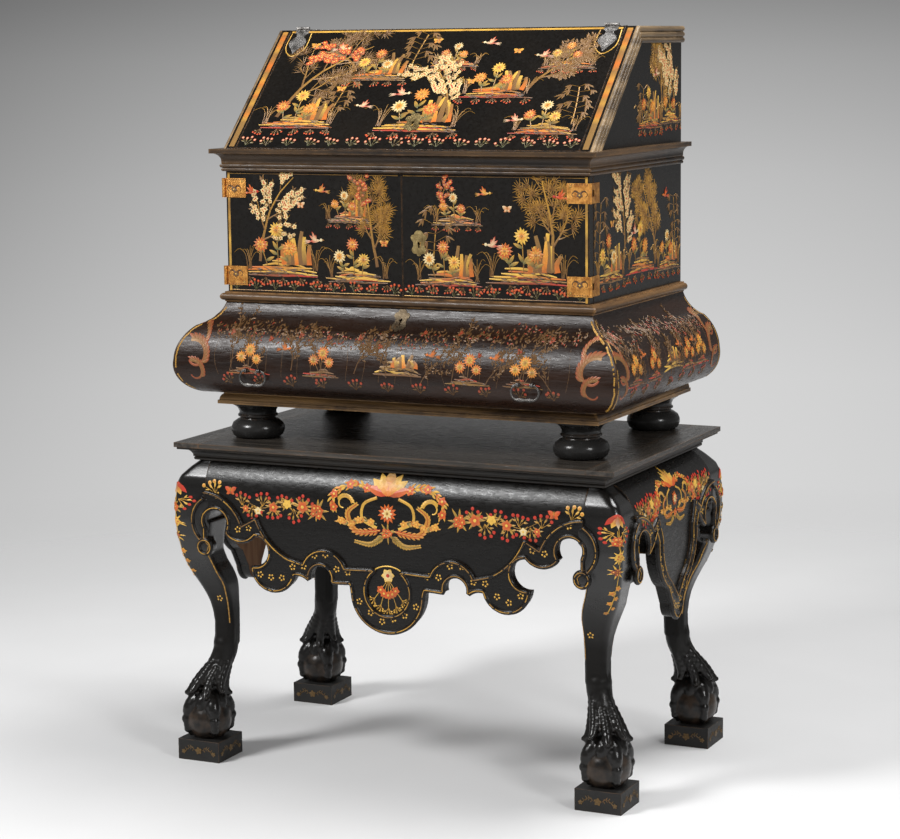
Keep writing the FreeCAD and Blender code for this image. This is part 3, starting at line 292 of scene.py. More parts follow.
def leg_changes(bench, shader, base, rough, height):
    """Strands of hair, a dull shank and brown balls; returns colour, roughness and height."""
    where = bench.spot()
    level = bench.add("ShaderNodeSeparateXYZ", {"Vector": where}).outputs["Z"]
    low, high = HAIR_BAND
    band = bench.times(bench.scaled(level, low, low + 0.03), bench.scaled(level, high - 0.06, high, 1.0, 0.0))
    strands = bench.noise(bench.place((1.0, 1.0, 0.07)), 260.0, 3.0)
    height = bench.math("ADD", height, bench.times(bench.times(strands, band), 6.0))
    shank = bench.times(bench.scaled(level, *SHANK_TOP), bench.scaled(level, *SHANK_FOOT, 0.55, 1.0))
    bench.feed(shader["Coat Weight"], bench.scaled(shank, 0.0, 1.0, 0.9, 0.0))
    base = bench.mix(worn_balls(bench, where), base, BALL_TONE)
    return base, bench.math("ADD", rough, bench.times(shank, 0.22)), height


def lacquer(name, ground, cloud, wear_amount, roughness, round_off=0.0015, inside=None, is_leg=False,
            stretch=(1.0, 1.0, 1.0), dents=0.22):
    """Old lacquer: a dark ground with clouds, scuffs and rubbed edges, bare wood on an inside face."""
    gloss = 0.16 if is_leg else 0.3
    material, bench, shader = new_material(name, Coat_Roughness=0.2, Specular_IOR_Level=gloss)
    mottle = group(bench, "Mottle", Scale=7.0, Stretch=stretch)
    wear = group(bench, "Edge wear", Reach=0.0035, Breakup=55.0, Amount=wear_amount)
    base = bench.mix(bench.times(mottle["Clouds"], 0.75), ground, cloud)
    base = bench.mix(bench.times(mottle["Scuffs"], 0.25), base, SCUFF_TONE)
    base = bench.mix(wear["Mask"], base, tone("worn"))
    rough = bench.scaled(mottle["Specks"], 0.0, 1.0, *roughness)
    height = mottle["Specks"]
    if inside is not None:
        base, rough = bare_inside(bench, base, rough, inside)
    if is_leg:
        base, rough, height = leg_changes(bench, shader, base, rough, height)
    surface(bench, shader, base, rough, height, 0.0009 if is_leg else 0.0003, dents, bench.rounded(round_off))
    return material


def stand_lacquer(side, inside):
    return lacquer("stand_lacquer_" + side, tone("black"), STAND_CLOUD, 0.9, (0.2, 0.42), 0.004, inside,
                   stretch=(0.4, 0.4, 1.3), dents=0.55)


def moulding_lacquer(name, dark, light, rub, stretch):
    """Dark moulding rubbed to golden brown along its members."""
    material, bench, shader = new_material(name, Specular_IOR_Level=0.35)
    mottle = group(bench, "Mottle", Scale=8.0, Stretch=stretch)
    wear = group(bench, "Edge wear", Reach=0.007, Breakup=34.0, Amount=1.0)
    base = bench.mix(bench.scaled(mottle["Clouds"], 0.25, 1.0, 0.0, rub), dark, light)
    base = bench.mix(bench.times(wear["Mask"], 0.85), base, light)
    base = bench.mix(bench.times(mottle["Scuffs"], 0.25), base, (0.09, 0.075, 0.055))
    rough = bench.scaled(mottle["Specks"], 0.0, 1.0, 0.28, 0.5)
    surface(bench, shader, base, rough, mottle["Specks"], 0.0005, 0.35)
    return material


def boards(name, dark, light, stretch, rough):
    """Bare or ebonised boards with grain."""
    material, bench, shader = new_material(name, IOR=1.45)
    grain = group(bench, "Wood grain", Stretch=stretch, Scale=6.0)
    mottle = group(bench, "Mottle", Scale=5.0)
    wear = group(bench, "Edge wear", Reach=0.004, Breakup=30.0, Amount=1.0)
    base = bench.mix(grain["Rings"], dark, light)
    base = bench.mix(bench.times(grain["Pores"], 0.45), base, dark)
    base = bench.mix(bench.times(mottle["Scuffs"], 0.35), base, light)
    base = bench.mix(wear["Mask"], base, tone("worn"))
    rough = bench.scaled(grain["Pores"], 0.0, 1.0, rough, rough + 0.18)
    surface(bench, shader, base, rough, grain["Pores"], 0.0006, 0.5)
    return material


def metal(name, dark, light, rough, scale):
    """Old hand-worked metal with tarnish in its hollows."""
    material, bench, shader = new_material(name, Metallic=1.0)
    mottle = group(bench, "Mottle", Scale=scale)
    wear = group(bench, "Edge wear", Reach=0.0012, Breakup=90.0, Amount=1.0)
    base = bench.mix(mottle["Clouds"], dark, light)
    base = bench.mix(wear["Mask"], base, light)
    rough = bench.scaled(mottle["Specks"], 0.0, 1.0, rough, rough + 0.25)
    surface(bench, shader, base, rough, mottle["Specks"], 0.0005, 0.5)
    return material


def paint_finish():
    """Paint and gilding: its colour comes with each stroke, thinned where it is rubbed."""
    material, bench, shader = new_material("paint", IOR=1.5)
    stroke = bench.add("ShaderNodeVertexColor", layer_name="paint").outputs
    mottle = group(bench, "Mottle", Scale=26.0)
    rubbed = bench.scaled(mottle["Clouds"], 0.55, 1.0, 0.0, 0.55)
    base = bench.mix(rubbed, stroke["Color"], tone("umber"))
    base = bench.mix(bench.times(mottle["Specks"], 0.22), base, tone("black"))
    bench.feed(shader["Base Color"], base)
    bench.feed(shader["Metallic"], bench.times(stroke["Alpha"], 0.45))
    bench.feed(shader["Roughness"], bench.scaled(mottle["Specks"], 0.0, 1.0, 0.34, 0.56))
    return material


# Meshes and objects

def mesh_of(node):
    """The mesh of a frame piece."""
    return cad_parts[node].data


def new_object(name, data):
    """An object of its own in the scene."""
    made = bpy.data.objects.new(name, data)
    bpy.context.scene.collection.objects.link(made)
    return made


# Painting

def blend(first, second, share):
    return tuple(a + (b - a) * share for a, b in zip(first, second))


def direction(start, end):
    """The drawing angle from one point to another."""
    return atan2(end[1] - start[1], end[0] - start[0])


def flowing(points, steps=5):
    """A smooth line through a few points."""
    line = []
    for number in range(len(points) - 1):
        a = Vector(points[max(number - 1, 0)])
        b = Vector(points[number])
        c = Vector(points[number + 1])
        d = Vector(points[min(number + 2, len(points) - 1)])
        for step in range(steps):
            t = step / steps
            line.append(tuple(0.5 * (2 * b + (c - a) * t + (2 * a - 5 * b + 4 * c - d) * t ** 2
                                     + (3 * b - a - 3 * c + d) * t ** 3)))
    return line + [tuple(points[-1])]


def tube_faces(first, rings, sides):
    """Faces of a closed tube, by the number of its first point, of its rings and of the points in each."""
    faces = []
    for base in range(first, first + sides * (rings - 1), sides):
        for near in range(sides):
            far = (near + 1) % sides
            faces.append((base + near, base + far, base + sides + far, base + sides + near))
    last = first + sides * (rings - 1)
    return faces + [tuple(reversed(range(first, first + sides))), tuple(range(last, last + sides))]


class Cast:
    """A drawing plane in front of some pieces, and where its points fall on faces that look towards it."""
    reach = 0.4
    grazing = -0.2

    def __init__(self, nodes, origin, across, up):
        self.origin = Vector(origin)
        self.across = Vector(across).normalized()
        self.up = Vector(up).normalized()
        self.toward = -self.across.cross(self.up)
        points = []
        polygons = []
        for name in nodes:
            mesh = mesh_of(name)
            first = len(points)
            points.extend(vertex.co.copy() for vertex in mesh.vertices)
            polygons.extend([first + corner for corner in polygon.vertices] for polygon in mesh.polygons)
        self.tree = BVHTree.FromPolygons(points, polygons)

    def at(self, u, v):
        start = self.origin + self.across * u + self.up * v - self.toward * self.reach
        point, normal, _, _ = self.tree.ray_cast(start, self.toward, 2 * self.reach)
        if point is None or normal.dot(self.toward) > self.grazing:
            return None
        return point, normal


class Strokes:
    """Points, faces and a colour for each point, gathered into one painted mesh."""

    def __init__(self, seed):
        self.random = random.Random(seed)
        self.points = []
        self.colours = []
        self.faces = []

    def finish(self, name, body="stand_and_case", material=None):
        """Make the mesh, give it the paint or a material of its own and let it ride on a body."""
        mesh = bpy.data.meshes.new(name)
        mesh.from_pydata([tuple(point) for point in self.points], [], self.faces)
        layer = mesh.color_attributes.new("paint", "FLOAT_COLOR", "POINT")
        layer.data.foreach_set("color", [value for tint in self.colours for value in tint])
        mesh.validate()
        piece = new_object(name, mesh)
        mesh.materials.append(material or bpy.data.materials.get("paint") or paint_finish())
        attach(piece, body)


class Painting(Strokes):
    """Thin closed strokes of paint on one cast.

    A layer counts how many reliefs a stroke lies above the ground, and metal is its share of gilding.
    """

    def __init__(self, cast, seed):
        sizes = bpy.context.scene.desk_sizes
        super().__init__(seed + sizes.seed)
        self.cast = cast
        self.relief = sizes.relief
        self.sink = sizes.sink
        self.tint = SimpleNamespace(**{name: tone(name) for name in DeskColours.__annotations__})
        self.stem = self.pair("umber", "gold")
        self.dim = self.pair("umber", "ochre")

    def some(self, low, high):
        return self.random.uniform(low, high)

    def one_of(self, names):
        """The tint of a name drawn from a few."""
        return getattr(self.tint, names[int(self.some(0, len(names) - 0.01))])

    def pair(self, first, second):
        return getattr(self.tint, first), getattr(self.tint, second)

    def stroke(self, path, widths, tints, layer=0, metal=0.0):
        """A brush stroke with a raised middle, cut short where it would leave the surface."""
        rows = []
        for number, here in enumerate(path):
            before = path[max(number - 1, 0)]
            after = path[min(number + 1, len(path) - 1)]
            along = (after[0] - before[0], after[1] - before[1])
            half = 0.5 * widths[number] / max(hypot(*along), TINY)
            hits = [self.cast.at(here[0] - along[1] * half * side, here[1] + along[0] * half * side)
                    for side in (1, 0, -1)]
            if None in hits:
                break
            rows.append(hits)
        if len(rows) < 2:
            return
        first = len(self.points)
        lift = layer * self.relief
        for number, hits in enumerate(rows):
            tint = blend(tints[0], tints[1], number / (len(rows) - 1))
            for (point, normal), rise in zip(hits, (-self.sink, self.relief, -self.sink)):
                self.points.append(point + normal * (lift + rise))
                self.colours.append((*tint, metal))
        self.faces.extend(tube_faces(first, len(rows), 3))

    def line(self, points, width, tints, layer=0, metal=0.0, taper=1.0, steps=5):
        path = flowing(points, steps)
        count = len(path) - 1
        widths = [width * (1 + (taper - 1) * number / count) for number in range(count + 1)]
        self.stroke(path, widths, tints, layer, metal)

    def leaf(self, base, angle, size, width, tints, layer=2, metal=0.0, bend=0.0):
        """A pointed leaf or petal from its base."""
        path = [base]
        for _ in range(4):
            angle += bend / 4
            path.append((path[-1][0] + cos(angle) * size / 4, path[-1][1] + sin(angle) * size / 4))
        self.stroke(path, [width * share for share in (0.25, 0.85, 1.0, 0.7, 0.08)], tints, layer, metal)

    def dot(self, middle, radius, tints, layer=3, metal=0.0, lobes=0, sides=8):
        """A berry, an eye or a small lobed flower: a low dome."""
        ring = []
        for number in range(sides):
            turn = tau * number / sides
            out = radius * (1 + (0.28 * cos(lobes * turn) if lobes else 0.0))
            ring.append(self.cast.at(middle[0] + out * cos(turn), middle[1] + out * sin(turn)))
        top = self.cast.at(*middle)
        if top is None or None in ring:
            return
        first = len(self.points)
        lift = layer * self.relief
        for point, normal in ring:
            self.points.append(point + normal * (lift - self.sink))
            self.colours.append((*tints[1], metal))
        self.points.append(top[0] + top[1] * (lift + self.relief))
        self.colours.append((*tints[0], metal))
        for number in range(sides):
            self.faces.append((first + number, first + (number + 1) % sides, first + sides))
        self.faces.append(tuple(first + number for number in reversed(range(sides))))

    def blossom(self, middle, size, tints, heart, petals=5):
        """A flower seen from the front."""
        start = self.some(0.0, ANY_TURN)
        for number in range(petals):
            self.leaf(middle, start + tau * number / petals, size, size * 0.85, tints, 3)
        self.dot(middle, size * 0.28, (heart, heart), 5, sides=6)

    def tuft(self, middle, angle, size, count, spread, tints):
        """A fan of fine needles."""
        for number in range(count):
            turn = angle + spread * (number / max(count - 1, 1) - 0.5) + self.some(-0.06, 0.06)
            self.leaf(middle, turn, size * self.some(0.75, 1.1), size * 0.075, tints, 1, 0.5)

    def reeds(self, base, height, spread, count, tints):
        """Grass blades that rise and fall outwards."""
        for number in range(count):
            lean = spread * (2 * number / max(count - 1, 1) - 1) + self.some(-0.08, 0.08)
            tall = height * self.some(0.7, 1.1)
            points = [(base[0] + self.some(-0.006, 0.006), base[1]),
                      (base[0] + 0.35 * tall * lean, base[1] + 0.62 * tall),
                      (base[0] + 0.85 * tall * lean, base[1] + 0.88 * tall),
                      (base[0] + 1.35 * tall * lean, base[1] + tall * (0.92 - 0.35 * abs(lean)))]
            self.line(points, 0.0017, tints, 1, 0.4, taper=0.35, steps=3)

    def mound(self, middle, wide, tall, palette, rows=6):
        """An earth bank of level brush strokes, light at its crown and dark at its foot."""
        for row in range(rows):
            share = row / (rows - 1)
            half = 0.5 * wide * (1.0 - 0.78 * share ** 1.4) * self.some(0.85, 1.08)
            shift = self.some(-0.1, 0.1) * wide * share
            level = middle[1] + tall * share
            points = [(middle[0] + shift - half, level + self.some(-0.1, 0.1) * tall)]
            for part in (0.3, 0.5, 0.7):
                points.append((middle[0] + shift + half * (2 * part - 1),
                               level + self.some(-0.06, 0.14) * tall))
            points.append((middle[0] + shift + half, level - self.some(0.0, 0.2) * tall))
            thick = 2.1 * tall / rows
            path = flowing(points, 4)
            last = len(path) - 1
            swell = [thick * sin(pi * (0.06 + 0.88 * n / last)) ** 0.6 for n in range(last + 1)]
            near = self.one_of(palette)
            far = self.one_of(palette)
            self.stroke(path, swell, (near, far), 0)
        for _ in range(rows * 3):
            u = middle[0] + self.some(-0.4, 0.4) * wide
            v = middle[1] + self.some(-0.05, 0.75) * tall * (1 - 1.6 * abs(u - middle[0]) / wide)
            self.leaf((u, v), self.some(-0.5, 0.2), 0.13 * wide * self.some(0.5, 1.0), 0.0022,
                      (self.tint.umber, self.tint.black), 2)

    def rock(self, base, wide, tall):
        """A pierced garden rock of upright strokes."""
        for number in range(7):
            share = number / 6
            u = base[0] + wide * (share - 0.5)
            top = tall * (0.45 + 0.55 * sin(pi * (0.15 + 0.75 * share))) * self.some(0.75, 1.1)
            points = [(u, base[1]), (u + self.some(-0.1, 0.1) * wide, base[1] + 0.5 * top),
                      (u + self.some(-0.16, 0.16) * wide, base[1] + top)]
            tints = self.pair("umber" if number % 3 else "orange", "straw" if number % 2 else "ochre")
            self.line(points, wide * 0.24, tints, 1, taper=0.55, steps=3)

    def bird(self, middle, size, facing, tints):
        """A small bird in flight."""
        u, v = middle
        first, second = tints

        def turned(angle):
            return angle if facing > 0 else pi - angle

        def along(share, rise):
            return u + facing * share * size, v + rise * size

        self.leaf(along(-0.45, -0.05), turned(0.12), 1.05 * size, 0.34 * size, (second, first), 3)
        self.dot(along(0.66, 0.1), 0.15 * size, (first, first), 4)
        for lift, long in ((1.95, 0.95), (2.45, 0.8), (1.5, 0.6)):
            self.leaf(along(0.05, 0.0), turned(lift), long * size, 0.24 * size, (first, second), 4)
        for droop in (-0.22, 0.0, 0.22):
            tail = (pi + 0.1 if facing > 0 else -0.1) + droop
            self.leaf(along(-0.35, -0.04), tail, 0.85 * size, 0.11 * size, (second, first), 3)
        self.leaf(along(0.78, 0.1), turned(0.0), 0.22 * size, 0.07 * size, self.pair("orange", "gold"), 4)

    def butterfly(self, middle, size, tints):
        for turn in (0.55, 2.59):
            self.leaf(middle, turn, size, 0.62 * size, tints, 3)
        for turn in (-0.65, 3.79):
            self.leaf(middle, turn, 0.72 * size, 0.45 * size, (tints[1], tints[0]), 3)
        self.line([(middle[0], middle[1] - 0.4 * size), (middle[0], middle[1] + 0.5 * size)], 0.1 * size,
                  (self.tint.umber, self.tint.gold), 5, steps=2)

    def bough(self, start, angle, long, wide, bend, tints, depth, dress):
        """A bending branch with side branches; dress paints what grows at a point of it."""
        steps = 9
        path = [start]
        turns = [angle]
        for _ in range(steps):
            angle += bend / steps + self.some(-0.13, 0.13)
            last = path[-1]
            path.append((last[0] + cos(angle) * long / steps, last[1] + sin(angle) * long / steps))
            turns.append(angle)
        widths = [wide * (1 - 0.8 * number / steps) for number in range(steps + 1)]
        self.stroke(path, widths, tints, 1, 0.25)
        for number in range(2, steps + 1):
            side = 1 if number % 2 else -1
            if depth and number < steps - 1:
                self.bough(path[number], turns[number] + side * self.some(0.5, 0.95),
                           long * self.some(0.3, 0.46), widths[number] * 0.7, -side * self.some(0.1, 0.9),
                           tints, depth - 1, dress)
            dress(path[number], turns[number], side, depth)

    def near(self, point, reach):
        """A place a random way off a point."""
        return point[0] + self.some(-1, 1) * reach, point[1] + self.some(-1, 1) * reach

    def in_bloom(self, names, leaves, size):
        """What grows on a flowering bough, by the names of its petals' two tints and of its heart's."""
        petal = self.pair(*names[:2])
        heart = getattr(self.tint, names[2])

        def dress(point, angle, side, depth):
            if depth:
                return
            if self.random.random() < 0.55:
                self.blossom(self.near(point, size * 0.5), size * self.some(0.6, 1.0), petal, heart)
            for turn in (0.7, -0.6):
                if self.random.random() < 0.6:
                    self.leaf(point, angle + turn * side, size * self.some(1.0, 1.7), size * 0.42, leaves, 2,
                              0.3)
        return dress

    def needled(self, size, tints):
        """What grows on a pine bough."""
        def dress(point, angle, side, depth):
            if depth == 0 and self.random.random() < 0.24:
                self.tuft(point, angle + 0.5 * side, size, 8, 2.8, tints)
        return dress

    def leafy(self, size, tints, count):
        """What grows on a leafing bough."""
        def dress(point, angle, side, depth):
            if depth:
                return
            for _ in range(count):
                self.leaf(self.near(point, size * 0.4), angle + side * self.some(0.2, 1.3),
                          size * self.some(0.7, 1.2), size * 0.34, tints, 2, 0.4)
        return dress

    def sprig(self, base, angle, size, berry, leaves):
        """A small spray of berries and leaves."""
        for lean in (-0.7, -0.25, 0.25, 0.7):
            turn = angle + lean
            tip = (base[0] + cos(turn) * size * self.some(0.7, 1.0),
                   base[1] + sin(turn) * size * self.some(0.7, 1.0))
            half_way = ((base[0] + tip[0]) / 2, (base[1] + tip[1]) / 2)
            self.line([base, half_way, tip], 0.0011, leaves, 1, 0.4, steps=2)
            self.dot(tip, size * 0.13, berry, 3, sides=7)
            self.leaf(half_way, turn + lean, size * 0.34, size * 0.13, leaves, 2, 0.3)

    def scroll(self, middle, size, turn, way, tints, leaves=5):
        """A C-scroll with leaves along its back."""
        path = []
        count = 18
        for number in range(count + 1):
            share = number / count
            out = size * (1.0 - 0.62 * share)
            angle = turn + way * 4.4 * share
            path.append((middle[0] + out * cos(angle), middle[1] + out * sin(angle)))
        widths = [size * 0.26 * (1 - 0.55 * number / count) for number in range(count + 1)]
        self.stroke(path, widths, tints, 1, 0.4)
        for number in range(2 * leaves):
            here = path[1 + number]
            out = direction(middle, here)
            self.leaf(here, out - way * 0.6, size * 0.55, size * 0.2, tints, 2, 0.3, bend=-0.6 * way)

    def cluster(self, middle, size, petal, heart, leaves, count):
        """Flowers and leaves gathered in a posy."""
        for number in range(count + 3):
            turn = tau * number / (count + 3) + self.some(-0.3, 0.3)
            self.leaf(middle, turn, size * self.some(0.8, 1.25), size * 0.22, leaves, 1, 0.3)
        for number in range(count):
            turn = tau * number / count
            away = 0.45 * size * self.some(0.5, 1.0)
            self.blossom((middle[0] + away * cos(turn), middle[1] + away * sin(turn)),
                         size * self.some(0.26, 0.36), petal, heart)

    def chrysanthemum(self, middle, size, outer, inner):
        """A many-petalled flower."""
        start = self.some(0.0, 0.5)
        for number in range(13):
            self.leaf(middle, start + tau * number / 13, size * self.some(0.88, 1.05), size * 0.34,
                      outer, 3)
        for number in range(8):
            self.leaf(middle, tau * number / 8, size * 0.58, size * 0.26, inner, 5)
        self.dot(middle, size * 0.15, (self.tint.gold, self.tint.umber), 7, sides=6)

    def bamboo(self, base, tall, lean, tints, leaves, size):
        """A jointed cane with drooping leaves in threes."""
        joints = 7
        points = [(base[0] + lean * tall * (number / joints) ** 1.6, base[1] + tall * number / joints)
                  for number in range(joints + 1)]
        for a, b in zip(points, points[1:]):
            self.line([a, blend(a, b, 0.5), blend(a, b, 0.94)], size * 0.11, tints, 1, 0.4, steps=2)
        for number in range(2, joints + 1):
            for side in (-1, 1):
                reach = size * self.some(0.4, 1.3)
                joint = points[number]
                tip = (joint[0] + side * reach, joint[1] + reach * self.some(0.1, 0.6))
                self.line([joint, blend(joint, tip, 0.5), tip], size * 0.04, tints, 1, 0.4, steps=2)
                for droop in (-0.25, -0.75, -1.2):
                    self.leaf(tip, droop if side > 0 else pi - droop, size * self.some(0.6, 1.0),
                              size * 0.19, leaves, 2, 0.35, bend=-0.3 * side)

    def island(self, middle, wide, petals, rock=True):
        """A floating bank with a rock, tall flowers and grass."""
        u, v = middle
        t = self.tint
        self.mound((u, v - 0.035 * wide), 1.1 * wide, 0.07 * wide, ("umber", "red", "ochre"), rows=3)
        self.mound(middle, wide, 0.16 * wide, ("straw", "gold", "orange", "ochre"))
        if rock:
            self.rock((u + 0.2 * wide, v + 0.1 * wide), 0.34 * wide, 0.42 * wide)
        for share, rise, name in zip((-0.3, -0.08, 0.1), (0.34, 0.52, 0.3), petals):
            head = (u + share * wide, v + rise * wide)
            foot = (u + 0.7 * share * wide, v + 0.08 * wide)
            self.line([foot, blend(foot, head, 0.5), head], 0.0021, self.stem, 1, 0.2)
            for turn in (0.4, 2.7, 1.0, 2.1):
                place = blend(foot, head, self.some(0.2, 0.7))
                self.leaf(place, turn, 0.13 * wide, 0.045 * wide, (t.green, t.gold), 2, 0.2)
            petal = getattr(t, name)
            self.chrysanthemum(head, 0.105 * wide, (petal, blend(petal, t.straw, 0.35)), (t.orange, t.straw))
        for end in (-0.46, 0.46):
            self.reeds((u + end * wide, v + 0.03 * wide), 0.34 * wide, 0.5, 7, self.stem)
        for number in range(5):
            self.sprig((u + wide * (number - 2) * 0.24, v - 0.06 * wide), -UP + self.some(-0.5, 0.5),
                       0.11 * wide, (t.orange, t.red), self.dim)

    def fill(self, spot, banks=(), boughs=(), canes=(), birds=(), butterflies=()):
        """Rows of figures; each row starts with its two shares, which spot turns into a place."""
        for u, v, *rest in banks:
            self.island(spot(u, v), *rest)
        for u, v, *rest in boughs:
            self.bough(spot(u, v), *rest)
        for u, v, tall, lean, size in canes:
            self.bamboo(spot(u, v), tall, lean, self.stem, self.dim, size)
        for u, v, size, facing, first, second in birds:
            self.bird(spot(u, v), size, facing, self.pair(first, second))
        for u, v, size, first, second in butterflies:
            self.butterfly(spot(u, v), size, self.pair(first, second))

    def border(self, half, level, reach, count, size, berry):
        """A row of sprigs along the foot of a panel."""
        for number in range(count):
            u = half * (-reach + 2 * reach * number / (count - 1))
            self.sprig((u, level), UP + self.some(-0.4, 0.4), size, self.pair(*berry),
                       self.pair("green", "ochre"))

    def acanthus(self, points, wide, tints):
        """A broad curling leaf with lobes along its outer side."""
        path = flowing(points, 6)
        count = len(path) - 1
        widths = [wide * sin(pi * (0.1 + 0.8 * number / count)) for number in range(count + 1)]
        self.stroke(path, widths, tints, 1, 0.2)
        for number in range(1, count):
            along = direction(path[number - 1], path[number + 1])
            share = number / count
            for side in (-1, 1):
                self.leaf(path[number], along + side * (0.95 - 0.3 * share), wide * (1.25 - 0.6 * share),
                          wide * 0.36, (blend(*tints, share), tints[1]), 2, 0.2, bend=-0.5 * side)
        self.stroke(path, [wide * 0.13] * (count + 1), (tints[1], tints[0]), 4, 0.4)

    def vine(self, points, size, leaves, petals):
        """A thin curling stem with paired leaves and small blossoms."""
        path = flowing(points, 5)
        count = len(path) - 1
        self.stroke(path, [size * 0.16] * (count + 1), leaves, 1, 0.5)
        for number in range(1, count):
            along = direction(path[number - 1], path[number + 1])
            for side in (-1, 1):
                self.leaf(path[number], along + side * self.some(0.6, 1.1), size * self.some(0.7, 1.1),
                          size * 0.3, leaves if number % 2 else (petals[0], leaves[1]), 2, 0.3,
                          bend=-0.7 * side)
            if number % 4 == 2:
                self.blossom(path[number], size * 0.62, petals, self.tint.straw)

    def patches(self, start, end, width, names, count):
        """A stripe of short overlapping strokes in several tones."""
        near = getattr(self.tint, names[0])
        for number in range(count):
            a = blend(start, end, number / count)
            b = blend(start, end, min((number + 1.05) / count, 1.0))
            far = blend(near, self.one_of(names), 0.6)
            self.line([a, blend(a, b, 0.5), b], width * self.some(0.95, 1.0), (near, far), 0, 0.2, steps=3)
            near = far

    def edge_line(self, start, inner, levels, inset, width, tints, layer):
        """A worn line beside the edge that is met first on the way from start, away from inner."""
        pace = 0.002
        tries = 90
        path = []
        for level in levels:
            for shift in range(tries):
                place = start - inner * shift * pace
                if self.cast.at(place, level) is not None:
                    path.append((place - inner * inset, level))
                    break
        for a, b in zip(path, path[1:]):
            if abs(a[0] - b[0]) < 2 * abs(a[1] - b[1]) and self.random.random() < 0.9:
                self.line([a, b], width, tints, layer, 0.4, steps=3)


# Pieces of the frame

def finish_node(names, material):
    """Give CAD pieces a finish."""
    for name in names:
        mesh_of(name).materials.clear()
        mesh_of(name).materials.append(material)


# Boards and ironwork

class DESK_OT_boards(bpy.types.Operator):
    """Finish the lacquered boards, the mouldings and the bare wood"""
    bl_idname = "desk.boards"
    bl_label = "Boards and mouldings"

    def execute(self, context):
        finish_node(["door_left", "door_right", "lid", "case_side_left", "case_side_right", "top_board"],
                    lacquer("panel_lacquer", tone("black"), (0.0095, 0.0072, 0.0052), 0.8, (0.24, 0.42)))
        finish_node(["drawer_front", "bombe_side_left", "bombe_side_right"],
                    lacquer("bombe_lacquer", (0.0055, 0.0034, 0.0026), tone("brown"), 0.9, (0.2, 0.5),
                            stretch=(0.22, 0.22, 1.5), dents=0.75))
        for side, inside in (("front", (0, 1, 0)), ("right", (-1, 0, 0)), ("left", (1, 0, 0)),
                             ("rear", (0, -1, 0))):
            finish_node(["apron_" + side], stand_lacquer(side, inside))
        finish_node(["plinth_blocks"], lacquer("plinth_lacquer", (0.0105, 0.01, 0.0095),
                                               (0.023, 0.022, 0.0205), 0.6, (0.45, 0.65)))
        self.mouldings()
        for part, grain in (("planks", (0.6, 16.0, 16.0)), ("cleats", (16.0, 0.6, 16.0))):
            finish_node(["stand_top_" + part],
                        boards("stand_" + part, (0.01, 0.0085, 0.0072), (0.078, 0.066, 0.054), grain, 0.22))
        finish_node(["apron_corner_blocks", "case_bottom", "drawer_runners", "drawer_case_back", "case_back",
                     "cupboard_floor", "cupboard_shelf", "slope_floor", "pigeonhole_shelf",
                     "pigeonhole_uprights", "drawer_sides", "drawer_back", "drawer_bottom"],
                    boards("bare_wood", (0.15, 0.078, 0.034), (0.33, 0.195, 0.095), (1.0, 12.0, 12.0),
                           0.55))
        return {"FINISHED"}

    def mouldings(self):
        """Rubbed mouldings, streaked along their runs: across the front, and back along the sides."""
        across = (0.25, 4.0, 4.0)
        back = (4.0, 0.25, 4.0)
        for kind, dark, light, front_rub, side_rub in (
                ("cornice", (0.014, 0.009, 0.0058), (0.15, 0.08, 0.03), 0.5, 0.7),
                ("waist_moulding", (0.024, 0.0125, 0.0062), (0.34, 0.175, 0.06), 0.55, 0.55),
                # The base moulding's tones are lighter than the waist moulding's: partly rubbed golden wood,
                # partly painted light where the swelled drawer section shades it
                ("base_moulding", (0.05, 0.026, 0.011), (0.5, 0.285, 0.11), 0.95, 0.95),
                ("stand_moulding", (0.01, 0.009, 0.008), (0.05, 0.038, 0.027), 0.5, 0.5)):
            for name, rub, run in ((kind + "_front", front_rub, across), (kind + "_sides", side_rub, back)):
                finish_node([name], moulding_lacquer(name, dark, light, rub, run))
        finish_node(["stand_moulding_rear"], mesh_of("stand_moulding_front").materials[0])
        finish_node(["side_reeding"],
                    moulding_lacquer("side_reeding", (0.045, 0.028, 0.015), (0.4, 0.27, 0.14), 0.8, back))


